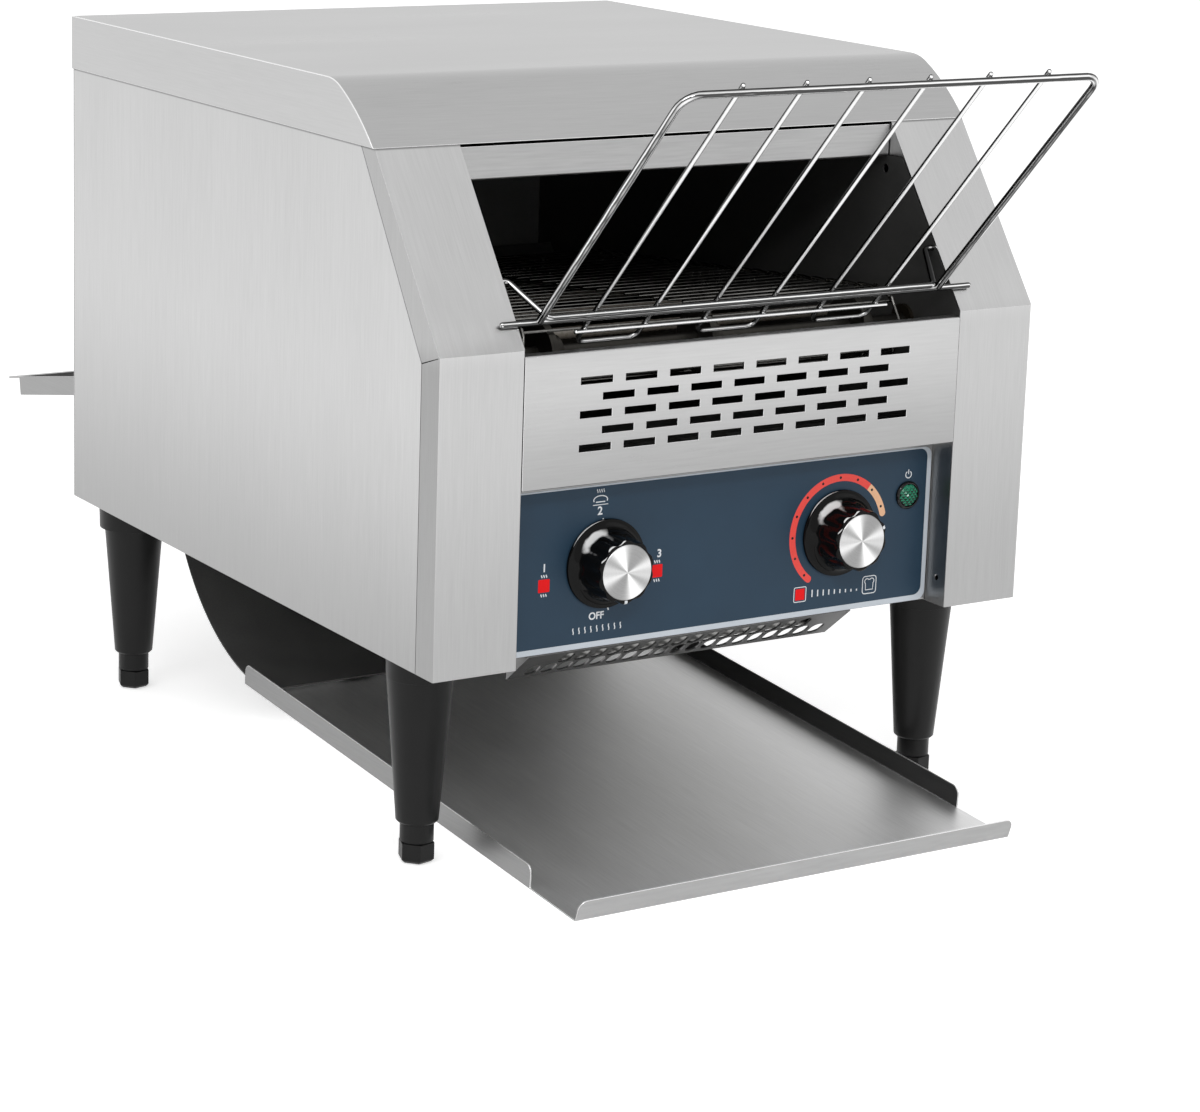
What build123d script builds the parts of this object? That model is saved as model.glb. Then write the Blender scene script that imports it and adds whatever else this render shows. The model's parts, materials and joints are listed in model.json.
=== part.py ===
from build123d import *
import math
import os

# Conveyor toaster, in millimetres. X runs to the right seen from the front, Y to the back
# and Z up. While modelling, the casing's front face lies on y = 0 and the feet stand on
# z = 0. At the end everything moves along Y, so that the origin lies under the middle.

# Casing
casing_w = 368.0
casing_d = 430.0
casing_z = 112.0
kink_z = 275.0
brow_y = 68.0
brow_z = 368.0
pillar_w = 48.5
sheet = 1.0
seat = 0.2
seam = 0.4

# Hood
nose_r = 127.0
nose_low_deg = 48.0
nose_high_deg = 28.0
bend_r = 30.0
hood_overhang = 1.3
panel_tuck = 8.0

# Front pillars
strip_low = 17.0
strip_top = 13.6
strip_kink_drop = 5.7
return_depth = 25.0
return_hole_y = 8.0
return_hole_z = 127.0
return_hole_r = 1.6
edge_r = 0.8

# Panels between the pillars
vent_low_z = 203.5
vent_high_z = 272.0
vent_lip = 7.0
slot_l = 19.0
slot_h = 3.8
slot_pitch = 26.6
slot_row_pitch = 8.6
slot_rows = 5
slots_per_row = 8
slots_mid_z = 239.9
control_y = 17.0
control_low_z = 112.4
panel_return = 14.0
overlay_t = 0.4
overlay_margin = 1.0
overlay_low_z = 113.0
overlay_high_z = 198.4
overlay_r = 5.0
header_h = 18.0
header_recess = 1.5
header_return = 6.0
header_end_gap = 0.6

# Knobs and lamp on the control panel
knob_z = 156.8
heat_share = -0.546
speed_share = 0.546
knob_flange_r = 23.5
knob_grip_r = 17.6
knob_front_r = 16.8
knob_h = 20.6
knob_gap = 0.3
flute_count = 10
flute_r = 4.2
flute_depth = 1.3
cap_r = 14.6
cap_t = 1.2
cap_proud = 0.5
spindle_r = 3.0
spindle_play = 0.05
spindle_hole_r = 4.5
speed_rest_deg = 22.5
lamp_inset = 16.3
lamp_z = 172.8
lamp_hole_r = 6.1
lamp_bezel_r = 7.6
lamp_lens_r = 6.2
lamp_dome_h = 2.1

# Air grille under the control panel
grille_left_gap = 18.7
grille_right_gap = 49.3
grille_screw_inset = 19.0
grille_screw_back = 8.6
grille_drop = 18.2
grille_run = 22.5
grille_flange = 12.0
grille_hole_w = 7.8
grille_hole_l = 11.5
grille_pitch = 10.0
grille_row_pitch = 11.3
grille_margin = 11.0
grille_short_count = 3
base_lip_h = 8.8

# Conveyor: shafts, sprockets and belt
front_shaft_y = 48.0
front_shaft_z = 262.0
belt_slope_deg = 5.0
belt_pitch = 14.0
belt_teeth = 8
belt_ends = 136.0
belt_rod_r = 0.9
belt_side_gap = 15.5
belt_hook_in = 3.5
belt_hook_lift = 1.95
belt_rod_sides = 6
sprocket_play = 0.3
tooth_dip = 0.5
notch_r = 3.0
sprocket_t = 4.0
sprocket_hub_r = 9.0
sprocket_inset = 20.0
shaft_r = 4.0
running_play = 0.05
bush_r = 6.0
bush_flange_r = 9.0

# Feed rack
frame_rod_r = 2.0
rack_rod_r = 1.6
rack_wire_r = 1.25
rack_side_gap = 11.5
rack_len = 173.4
rack_lean_deg = 133.5
rack_corner_r = 10.0
rack_wire_count = 6
rack_wire_pitch = 36.4
rack_wire_tip = 3.0
rack_wire_tail = 24.0
rack_cross_past = 11.0
rack_cross_z = 287.4
rack_hook_y = 27.0
rack_hook_z = 305.0
rack_hook_gap = 15.5
rack_hook_bend_r = 4.0
rack_clear = 0.3
weld = 0.3

# Chute and output tray
rear_bay = 27.8
chute_r = 130.0
chute_top_z = 240.0
chute_lip = 6.0
tongue_w = 20.0
tongue_x = 60.0
tray_tilt_deg = 3.78
tray_front_y = -63.0
tray_front_z = 0.6
tray_overlap = 16.4
tray_past_opening = 1.0
tray_wall_h = 12.5
tray_wall_start = 43.0
tray_sheet = 0.8
tray_lip_h = 12.0
tray_lip_lean_deg = 15.0
tray_corner_r = 5.0
tray_slide_gap = 1.9

# Crumb tray
crumb_tilt_deg = 10.8
crumb_side_gap = 12.0
crumb_out = 113.0
crumb_chute_gap = 0.6
crumb_wall_h = 11.5
crumb_z = 172.0
crumb_lip = 19.0
crumb_gap = 0.3

# Legs and feet
leg_inset = 23.0
leg_front_y = 52.0
leg_rear_inset = 34.0
leg_collar_r = 20.6
leg_collar_h = 13.0
leg_top_r = 17.9
leg_low_r = 11.2
leg_low_z = 21.5
leg_neck_r = 8.9
foot_h = 11.0
foot_across = 17.0
stud_r = 4.0
stud_l = 32.0

# Rear panel louvres
louvre_len = 90.0
louvre_h = 5.0
louvre_out = 3.2
louvre_rows = 6
louvre_low_z = 250.0
louvre_pitch_z = 18.0
louvre_pitch_x = 110.0
rear_screw_shares = (0.07, 0.42, 0.7, 0.93)
rear_screw_inset = 5.0
screw_r = 1.75
screw_hole_r = 1.8

# Inside: chamber, drive, fan and electrics
floor_z = 205.0
bay_depth = 95.0
back_gap = 3.0
back_flange = 11.0
reflector_drop = 10.0
heater_r = 3.25
heater_end_gap = 34.0
upper_heater_shares = (0.23, 0.52, 0.81)
upper_heater_drop = 21.0
lower_heater_shares = (0.23, 0.5, 0.775)
collar_r = 6.5
wall_hole_y = 71.0
wall_hole_drop = 26.0
wall_hole_r = 2.5
cable_slot_y = 200.0
cable_slot_l = 90.0
motor_y = 122.0
motor_z = 160.0
motor_box_l = 34.0
motor_box_w = 54.0
motor_box_h = 48.0
motor_can_l = 44.0
motor_can_r = 21.0
chain_inset = 32.0
chain_teeth = 12
chain_pitch = 6.35
fan_x = 60.0
fan_share = 0.6
fan_size = 80.0
fan_h = 25.0
fan_blade_count = 7
base_slot_x = -60.0
base_slot_share = 0.69
board_x = 20.0
board_w = 80.0
board_d = 54.0
board_bay_gap = 13.0
terminal_w = 52.0
terminal_d = 22.0
terminal_wall_gap = 5.5
terminal_bay_gap = 63.0
gland_inset = 49.0
gland_z = 140.0
gland_bore_r = 4.5

# Worked-out values
half_w = casing_w / 2
half_open = half_w - pillar_w
slant = math.atan2(brow_z - kink_z, brow_y)
inner_wall_x = half_open
heat_x = heat_share * half_open
speed_x = speed_share * half_open
lamp_x = half_open - lamp_inset
grille_x_low = grille_left_gap - half_open
grille_x_high = half_open - grille_right_gap
header_y = brow_y + header_recess
header_low_z = brow_z - header_h
reflector_z = brow_z - reflector_drop
upper_heater_z = brow_z - upper_heater_drop
wall_hole_z = brow_z - wall_hole_drop
belt_half_w = half_open - belt_side_gap
sprocket_x = belt_half_w - sprocket_inset
belt_run_links = round((casing_d - belt_ends) / belt_pitch)
belt_tilt = math.radians(belt_slope_deg)
belt_r = belt_pitch / (2 * math.sin(math.pi / belt_teeth))
shaft_gap = belt_run_links * belt_pitch
rear_shaft_y = front_shaft_y + shaft_gap * math.cos(belt_tilt)
rear_shaft_z = front_shaft_z - shaft_gap * math.sin(belt_tilt)
shaft_run_y = rear_shaft_y - front_shaft_y
upper_heater_y = [front_shaft_y + share * shaft_run_y for share in upper_heater_shares]
lower_heater_y = [front_shaft_y + share * shaft_run_y for share in lower_heater_shares]
heater_end_x = half_w - heater_end_gap
rack_half_w = half_open - rack_side_gap
rack_cross_half = half_open + rack_cross_past
rack_hook_half = half_open - rack_hook_gap
chute_back_y = casing_d - rear_bay
tray_half_w = half_open + tray_past_opening
crumb_half_w = half_w - crumb_side_gap
crumb_in = rear_bay - sheet - crumb_chute_gap - seat
leg_x = half_w - leg_inset
leg_rear_y = casing_d - leg_rear_inset
bay_rear_y = casing_d - bay_depth
fan_y = fan_share * bay_rear_y
chain_x = chain_inset - half_w
gland_x = half_w - gland_inset
base_top_z = casing_z + 1.2
overlay_face_y = control_y - overlay_t
knob_base_y = overlay_face_y - knob_gap
fillet_turn = math.radians(nose_low_deg)
nose_end_turn = math.radians(nose_high_deg)
hood_top_z = (brow_z + nose_r * (math.cos(nose_end_turn) - math.cos(fillet_turn))
              + bend_r * (1 - math.cos(nose_end_turn)))


# Small helpers

def block(x_low, x_high, y_low, y_high, z_low, z_high):
    size = Box(x_high - x_low, y_high - y_low, z_high - z_low)
    return Pos((x_low + x_high) / 2, (y_low + y_high) / 2, (z_low + z_high) / 2) * size


def side_plate(points, x_low, x_high):
    face = make_face(Polyline(*points, close=True))
    return extrude(Plane.YZ.offset(x_low) * face, amount=x_high - x_low)


def folded(points, thickness, x_low, x_high, bend=1.5):
    path = FilletPolyline(*points, radius=bend)
    strip = make_face(offset(path, amount=thickness, side=Side.LEFT))
    return extrude(Plane.YZ.offset(x_low) * strip, amount=x_high - x_low)


def rod(start, end, radius):
    run = Vector(*end) - Vector(*start)
    return extrude(Plane(origin=start, z_dir=run) * Circle(radius), amount=run.length)


def cross_rod(x_low, x_high, y, z, radius):
    return rod((x_low, y, z), (x_high, y, z), radius)


def front_plane(y):
    return Plane(origin=(0, y, 0), x_dir=(1, 0, 0), z_dir=(0, -1, 0))


def bent_wire(points, radius, bend):
    path = FilletPolyline(*points, radius=bend)
    start = Plane(origin=path @ 0, z_dir=path % 0)
    return sweep(start * Circle(radius), path=path)


def front_line(inset, z):
    # y of the pillars' front face, set back by inset, at height z
    if z <= kink_z:
        return inset
    return inset / math.sin(slant) + (z - kink_z) / math.tan(slant)


def mirrored(shape):
    return mirror(shape, about=Plane.YZ)


# Casing

def hood_face(inset, low_z, rear_y):
    # the nose: a large arc from the brow, a tighter bend, then the flat top
    start_y = brow_y + inset * math.sin(fillet_turn)
    start_z = brow_z - inset * math.cos(fillet_turn)
    nose = JernArc((start_y, start_z), (math.cos(fillet_turn), math.sin(fillet_turn)),
                   nose_r - inset, nose_high_deg - nose_low_deg)
    bend = JernArc(nose @ 1, nose % 1, bend_r - inset, -nose_high_deg)
    top = Line(bend @ 1, (rear_y, (bend @ 1).Y))
    rear = Line(top @ 1, (rear_y, low_z))
    under = Line(rear @ 1, (start_y, low_z))
    if low_z < start_z:
        front = Line(under @ 1, (start_y, start_z))
        return make_face([nose, bend, top, rear, under, front])
    return make_face([nose, bend, top, rear, under])


def hood():
    rear_y = casing_d + hood_overhang
    outer_x = half_w + 0.1 + sheet
    outer = extrude(Plane.YZ.offset(-outer_x) * hood_face(0, brow_z, rear_y), amount=2 * outer_x)
    inner_x = outer_x - sheet
    hollow = hood_face(sheet, brow_z - 5, rear_y + 5)
    return outer - extrude(Plane.YZ.offset(-inner_x) * hollow, amount=2 * inner_x)


def strip_line(z):
    # y of the seam between the pillars' side strip and the side panel
    if z <= kink_z - strip_kink_drop:
        return strip_low
    rise = (z - kink_z + strip_kink_drop) / (brow_z - kink_z + strip_kink_drop)
    return strip_low + rise * (brow_y + strip_top - strip_low)


def side_panel():
    top_z = brow_z + panel_tuck
    low_z = casing_z
    kink = kink_z - strip_kink_drop
    outline = [(strip_line(low_z) + seam, low_z), (strip_line(kink) + seam, kink),
               (strip_line(top_z) + seam, top_z), (casing_d, top_z), (casing_d, low_z)]
    skin = side_plate(outline, half_w - sheet, half_w)
    rear_flange = block(half_w - 10, half_w - sheet, casing_d - sheet, casing_d,
                        base_top_z + seat, top_z - 2)
    return skin + rear_flange


def pillar():
    # folded from one sheet: side strip, front face and the return beside the control panel
    low = casing_z
    face_outline = [(0, low), (0, kink_z), (brow_y, brow_z),
                    (front_line(sheet, brow_z), brow_z), (front_line(sheet, kink_z + 0.01), kink_z),
                    (sheet, low)]
    face = side_plate(face_outline, half_open, half_w)
    kink = kink_z - strip_kink_drop
    lower_strip = [(0, low), (0, kink_z), (strip_low, kink), (strip_low, low)]
    upper_strip = [(0.35, kink_z + 0.25), (brow_y, brow_z), (brow_y + strip_top, brow_z),
                   (strip_line(kink + 0.5), kink + 0.5)]
    strip = side_plate(lower_strip, half_w - sheet, half_w)
    strip += side_plate(upper_strip, half_w - sheet, half_w)
    inner_return = block(half_open, half_open + sheet, 0, return_depth, low, vent_low_z)
    high_return = side_plate([(front_line(0, header_low_z), header_low_z), (brow_y, brow_z),
                              (header_y + 2, brow_z), (header_y + 2, header_low_z)],
                             half_open, half_open + sheet)
    hole = cross_rod(half_open - 1, half_open + 2, return_hole_y, return_hole_z, return_hole_r)
    solid = face + strip + inner_return + high_return - hole
    corners = [edge for edge in solid.edges().filter_by(Axis.Z)
               if abs(edge.center().Y) < 0.01 and edge.length > 80]
    return fillet(corners, edge_r)


def feed_header():
    # upright strip just behind the brow, its lower edge folded back into the oven
    reach = half_open - header_end_gap
    path = [(header_y + header_return, header_low_z + 0.6), (header_y, header_low_z),
            (header_y, brow_z - 1.5)]
    return folded(path, -sheet, -reach, reach, bend=0.6)


def vent_panel():
    reach = half_open - seat
    path = [(vent_lip, vent_high_z), (0, vent_high_z), (0, vent_low_z),
            (control_y - seat, vent_low_z)]
    panel = folded(path, sheet, -reach, reach, bend=1.2)
    slots = Sketch()
    for row in range(slot_rows):
        count = slots_per_row - row % 2
        z = slots_mid_z + (row - (slot_rows - 1) / 2) * slot_row_pitch
        slots += Pos(0, z) * GridLocations(slot_pitch, 1, count, 1) * Rectangle(slot_l, slot_h)
    return panel - extrude(front_plane(sheet + 1) * slots, amount=sheet + 2)


def control_panel():
    reach = half_open - seat
    low = control_low_z
    path = [(control_y, vent_low_z - seat), (control_y, low), (control_y + panel_return, low)]
    panel = folded(path, sheet, -reach, reach, bend=1.2)
    cut = front_plane(control_y + 2) * panel_holes()
    return panel - extrude(cut, amount=4)


def panel_holes():
    holes = Pos(heat_x, knob_z) * Circle(spindle_hole_r)
    holes += Pos(speed_x, knob_z) * Circle(spindle_hole_r)
    holes += Pos(lamp_x, lamp_z) * Circle(lamp_hole_r)
    return holes


def control_overlay():
    wide = 2 * (half_open - overlay_margin)
    tall = overlay_high_z - overlay_low_z
    outline = Pos(0, (overlay_high_z + overlay_low_z) / 2) * RectangleRounded(wide, tall, overlay_r)
    return extrude(front_plane(control_y) * (outline - panel_holes()), amount=overlay_t)


def grille_plane():
    # the perforated slope runs down and back from the control panel's lower edge
    slope = math.atan2(-grille_drop, grille_run)
    normal = (0, math.sin(slope), -math.cos(slope))
    return Plane(origin=(0, control_y + 0.6, control_low_z - seat), x_dir=(1, 0, 0), z_dir=normal)


def air_grille():
    top_z = control_low_z - seat
    front = control_y + 0.6
    path = [(front + grille_flange, top_z), (front, top_z),
            (front + grille_run, top_z - grille_drop)]
    slope_sheet = folded(path, -sheet, grille_x_low, grille_x_high, bend=0.4)
    end_shape = [(front + 3.5, top_z - sheet - 0.4), (front + grille_run, top_z - sheet - 0.4),
                 (front + grille_run, top_z - grille_drop + 0.2)]
    left_end = side_plate(end_shape, grille_x_low, grille_x_low + sheet)
    right_end = side_plate(end_shape, grille_x_high - sheet, grille_x_high)
    # two staggered rows of long holes, the upper one shorter by the screw at each end
    holes = Sketch()
    long_count = int((grille_x_high - grille_x_low - 2 * grille_margin) / grille_pitch) + 1
    mid_x = (grille_x_low + grille_x_high) / 2
    slope_mid = math.hypot(grille_drop, grille_run) / 2 + 0.4
    slot = SlotOverall(grille_hole_l, grille_hole_w, rotation=90)
    for count, way in ((long_count - grille_short_count, -1), (long_count, 1)):
        spots = GridLocations(grille_pitch, 1, count, 1)
        holes += Pos(mid_x, -slope_mid - way * grille_row_pitch / 2) * spots * slot
    cutters = extrude(grille_plane() * holes, amount=2.5, both=True)
    return slope_sheet - cutters + left_end + right_end


def base_plate():
    reach = half_w - sheet - seat
    front = control_y + panel_return + 0.5
    plate = block(-reach, reach, front, casing_d - sheet - seat, casing_z, base_top_z)
    for side in (-1, 1):
        x_in = side * (reach - sheet)
        x_out = side * reach
        plate += block(min(x_in, x_out), max(x_in, x_out), strip_low + seam, casing_d - 2,
                       base_top_z, base_top_z + 14)
        ear_x = sorted((side * (half_open + sheet + seat), side * reach))
        plate += block(ear_x[0], ear_x[1], strip_low + seam, front, casing_z, base_top_z)
    plate += block(grille_x_low + 2, grille_x_high - 2, front, front + sheet,
                   casing_z - base_lip_h, casing_z)
    drop = block(-half_open, half_open, bay_rear_y + 2, casing_d + 5, casing_z - 1, base_top_z + 1)
    plate -= drop
    slots = Sketch()
    slots += Pos(fan_x, fan_y) * PolarLocations(fan_size * 0.3, 14) * Rectangle(20, 5)
    slot_mid = Pos(base_slot_x, base_slot_share * bay_rear_y)
    slots += slot_mid * GridLocations(14, 60, 6, 2) * Rectangle(5, 44)
    plate -= extrude(Plane.XY.offset(casing_z - 1) * slots, amount=4)
    for x in (-leg_x, leg_x):
        for y in (leg_front_y, leg_rear_y):
            plate -= rod((x, y, casing_z - 1), (x, y, base_top_z + 1), stud_r + 0.2)
    return plate


def rear_panel():
    low_z = casing_z + seat
    high_z = hood_top_z - sheet - seat
    y = casing_d + seat
    panel = block(-half_w, half_w, y, y + sheet, low_z, high_z)
    lean = math.radians(crumb_tilt_deg)
    slot_low = crumb_z - 1.0
    slot_high = crumb_z + crumb_wall_h / math.cos(lean) + 1.2
    panel -= block(-crumb_half_w - 0.8, crumb_half_w + 0.8, y - 1, y + 2, slot_low, slot_high)
    for x in (-louvre_pitch_x, 0, louvre_pitch_x):
        for row in range(louvre_rows):
            z = louvre_low_z + louvre_pitch_z * row
            x_low = x - louvre_len / 2
            x_high = x + louvre_len / 2
            panel -= block(x_low, x_high, y - 1, y + 2, z, z + louvre_h)
            root = y + sheet - 0.4
            tip = y + sheet + louvre_out
            lid = [(root, z + louvre_h + 1.4), (tip, z + 1.2), (tip, z + 0.2),
                   (root, z + louvre_h + 0.2)]
            panel += side_plate(lid, x_low - 1, x_high + 1)
    panel -= rod((gland_x, y - 1, gland_z), (gland_x, y + 3, gland_z), 8.1)
    return panel


def inner_wall(side):
    # black oven wall, with the bearing, heater and rack hook holes
    low = base_top_z + seat
    top = brow_z - 2.0
    back = casing_d - 1.4
    notch_y = chute_back_y + 2.0
    notch_z = 205.0
    outline = [(return_depth + seam, low), (return_depth + seam, vent_low_z + seam),
               (sheet + seam, vent_low_z + seam), (front_line(sheet + seam, kink_z), kink_z),
               (front_line(sheet + seam, header_low_z - seam), header_low_z - seam),
               (header_y + 2 + seam, header_low_z - seam), (header_y + 2 + seam, top), (back, top),
               (back, notch_z), (notch_y, notch_z), (notch_y, low)]
    wall = side_plate(outline, inner_wall_x, inner_wall_x + sheet)
    reach = (inner_wall_x - 1, inner_wall_x + 2)
    for y, z in ((front_shaft_y, front_shaft_z), (rear_shaft_y, rear_shaft_z)):
        wall -= cross_rod(*reach, y, z, bush_r + running_play)
    for y, z in heater_spots():
        wall -= cross_rod(*reach, y, z, heater_r + 0.2)
    wall -= cross_rod(*reach, rack_hook_y, rack_hook_z, rack_rod_r + 0.08)
    wall -= cross_rod(*reach, wall_hole_y, wall_hole_z, wall_hole_r)
    wall -= block(*reach, cable_slot_y, cable_slot_y + cable_slot_l, low + 20, low + 30)
    if side < 0:
        wall -= cross_rod(*reach, motor_y, motor_z, 7.0)
        return mirrored(wall)
    return wall


def heater_spots():
    spots = []
    for y in upper_heater_y:
        spots.append((y, upper_heater_z - (y - upper_heater_y[0]) * math.tan(belt_tilt)))
    for y in lower_heater_y:
        spots.append((y, front_shaft_z - (y - front_shaft_y) * math.tan(belt_tilt)))
    return spots


def top_reflector():
    reach = inner_wall_x - 0.3
    front = header_y + header_return + 1.5
    path = [(front, header_low_z + 2.2), (front + 8, reflector_z),
            (casing_d - 30, reflector_z), (casing_d - 22, reflector_z - 14)]
    return folded(path, sheet, -reach, reach, bend=2.0)


def lower_reflector():
    reach = inner_wall_x - 0.3
    low_y = lower_heater_y[0] - 36
    high_y = lower_heater_y[-1] + 36
    run = []
    for y, rise in ((low_y, 5.0), (low_y + 8, 0.0), (high_y - 8, 0.0), (high_y, 5.0)):
        z = front_shaft_z - (y - front_shaft_y) * math.tan(belt_tilt) - 9.5 + rise
        run.append((y, z))
    return folded(run, -sheet, -reach, reach, bend=2.0)


def chamber_floor():
    reach = inner_wall_x - 0.3
    path = [(control_y + sheet + 1, floor_z + 12), (control_y + sheet + 1, floor_z),
            (bay_rear_y, floor_z), (bay_rear_y, base_top_z + seat)]
    return folded(path, sheet, -reach, reach, bend=2.0)


def oven_back():
    # closes the oven behind the chute, above the crumb tray
    reach = inner_wall_x - 0.3
    low = floor_z
    back = casing_d - back_gap
    path = [(back - back_flange, low), (back, low), (back, brow_z - 2.5)]
    return folded(path, sheet, -reach, reach, bend=2.0)


# Conveyor

def belt_spots():
    # rod places round the two sprockets and along both runs, in the belt's own plane
    turn = 2 * math.pi / belt_teeth
    half_wrap = belt_teeth // 2
    spots = []
    for step in range(half_wrap + 1):
        angle = math.pi / 2 + step * turn
        spots.append((belt_r * math.cos(angle), belt_r * math.sin(angle)))
    for step in range(1, belt_run_links):
        spots.append((step * belt_pitch, -belt_r))
    for step in range(half_wrap + 1):
        angle = -math.pi / 2 + step * turn
        spots.append((shaft_gap + belt_r * math.cos(angle), belt_r * math.sin(angle)))
    for step in range(1, belt_run_links):
        spots.append((shaft_gap - step * belt_pitch, belt_r))
    return spots


def belt_link():
    # one wire: the cross rod, and at each end a leg that hooks over the rod behind it
    reach = belt_half_w
    hook_x = reach - belt_hook_in
    tip = belt_rod_r * 1.9
    half = [(0, 0, 0), (reach, 0, 0), (hook_x, -belt_pitch + 3.0, belt_hook_lift),
            (hook_x, -belt_pitch - tip, belt_hook_lift),
            (hook_x, -belt_pitch - tip - 0.5, belt_hook_lift - 3.0)]
    points = [(-x, y, z) for x, y, z in reversed(half[1:])] + half[1:]
    path = Polyline(*points)
    start = Plane(origin=path @ 0, z_dir=path % 0)
    section = RegularPolygon(belt_rod_r, belt_rod_sides)
    return sweep(start * section, path=path, transition=Transition.RIGHT)


def conveyor_belt():
    link = belt_link()
    spots = belt_spots()
    tilt = Pos(0, front_shaft_y, front_shaft_z) * Rot(X=-belt_slope_deg)
    links = []
    for index, here in enumerate(spots):
        behind = spots[index - 1]
        back = math.degrees(math.atan2(here[1] - behind[1], here[0] - behind[0]))
        links.append(tilt * Pos(0, here[0], here[1]) * Rot(X=back) * Rot(Y=180) * link)
    return Compound(children=links)


def belt_sprocket():
    # a lobed disc whose tips stay just inside the belt's rods
    tip_r = belt_r - belt_rod_r - sprocket_play
    disc = Circle(tip_r) - PolarLocations(tip_r - tooth_dip + notch_r, belt_teeth) * Circle(notch_r)
    hub = Circle(sprocket_hub_r)
    solid = extrude(disc, amount=sprocket_t) + extrude(hub, amount=sprocket_t + 8)
    return solid - extrude(Pos(0, 0, -1) * Circle(shaft_r + 0.02), amount=20)


def belt_sprockets(y, z):
    wheel = belt_sprocket()
    stood = Rot(Y=90) * wheel
    wheels = []
    for x in (-sprocket_x, -sprocket_t / 2, sprocket_x - sprocket_t):
        wheels.append(Pos(x, y, z) * Rot(X=-belt_slope_deg) * stood)
    return Compound(children=wheels)


def shaft(y, z, x_low, x_high):
    bar = cross_rod(x_low, x_high, y, z, shaft_r)
    ends = bar.edges().filter_by(GeomType.CIRCLE)
    return chamfer(ends, 0.6)


def shaft_bushes():
    bushes = []
    for side in (-1, 1):
        for y, z in ((front_shaft_y, front_shaft_z), (rear_shaft_y, rear_shaft_z)):
            wall = inner_wall_x * side
            out = side * (inner_wall_x + sheet)
            sleeve = cross_rod(min(wall, out + side * 5), max(wall, out + side * 5), y, z, bush_r)
            flange = cross_rod(min(wall - side * 2, wall), max(wall - side * 2, wall), y, z,
                               bush_flange_r)
            bore = cross_rod(-200, 200, y, z, shaft_r + running_play)
            bushes.append(sleeve + flange - bore)
    return Compound(children=bushes)


# Drive

def chain_radius():
    return chain_pitch / (2 * math.sin(math.pi / chain_teeth))


def chain_wheel(y, z):
    pitch_r = chain_radius()
    tip_r = pitch_r + 1.4
    seats = PolarLocations(pitch_r, chain_teeth) * Circle(1.75)
    disc = Circle(tip_r) - seats
    body = extrude(disc, amount=2.6) + extrude(Circle(8), amount=9)
    body -= extrude(Circle(shaft_r + 0.02), amount=12)
    return Pos(chain_x - 1.3, y, z) * Rot(Y=90) * body


def drive_chain():
    # the chain's plates run as one band round both wheels, clear of the teeth
    tip_r = chain_radius() + 1.4
    run_y = motor_y - front_shaft_y
    run_z = motor_z - front_shaft_z
    turn = math.degrees(math.atan2(run_z, run_y))
    span = math.hypot(run_y, run_z)
    inner = SlotCenterToCenter(span, 2 * (tip_r + 0.4))
    outer = SlotCenterToCenter(span, 2 * (tip_r + 0.4) + 5)
    flat = extrude(outer - inner, amount=5)
    mid = Pos(chain_x - 2.5, (motor_y + front_shaft_y) / 2, (motor_z + front_shaft_z) / 2)
    stand = Plane(origin=(0, 0, 0), x_dir=(0, 1, 0), z_dir=(1, 0, 0))
    return mid * Rot(X=turn) * (stand * flat)


def gear_motor():
    face_x = -inner_wall_x + seat
    box_end = face_x + motor_box_l
    can_end = box_end + motor_can_l
    box = Pos((face_x + box_end) / 2, motor_y, motor_z) * Box(motor_box_l, motor_box_w, motor_box_h)
    box = fillet(box.edges().filter_by(Axis.X), 5)
    can = cross_rod(box_end, can_end, motor_y, motor_z, motor_can_r)
    nose = cross_rod(can_end, can_end + 4, motor_y, motor_z, 7)
    bore = cross_rod(face_x - 1, face_x + 20, motor_y, motor_z, shaft_r + running_play)
    return box + can + nose - bore


def motor_shaft():
    return shaft(motor_y, motor_z, chain_x - 6, -inner_wall_x + seat + 18)


# Feed rack

def rack_up():
    lean = math.radians(rack_lean_deg)
    return Vector(0, math.cos(lean), math.sin(lean))


def rack_normal():
    up = rack_up()
    return Vector(0, up.Z, -up.Y)


def cross_spot():
    # the cross rod rests against the slanted faces of both pillars
    away = rack_rod_r + rack_clear
    return Vector(0, front_line(-away, rack_cross_z), rack_cross_z)


def rack_point(x, along, off):
    # a point of the rack: x, the way up its plane from the cross rod, and the way behind it
    spot = cross_spot() + rack_up() * along + rack_normal() * off
    return (x, spot.Y, spot.Z)


def rack_wire_line(along):
    # the wires lie on the cross rod and on the frame's top rod
    low = rack_rod_r + rack_wire_r - weld
    high = frame_rod_r + rack_wire_r - weld
    return low + (high - low) * along / rack_len


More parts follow.
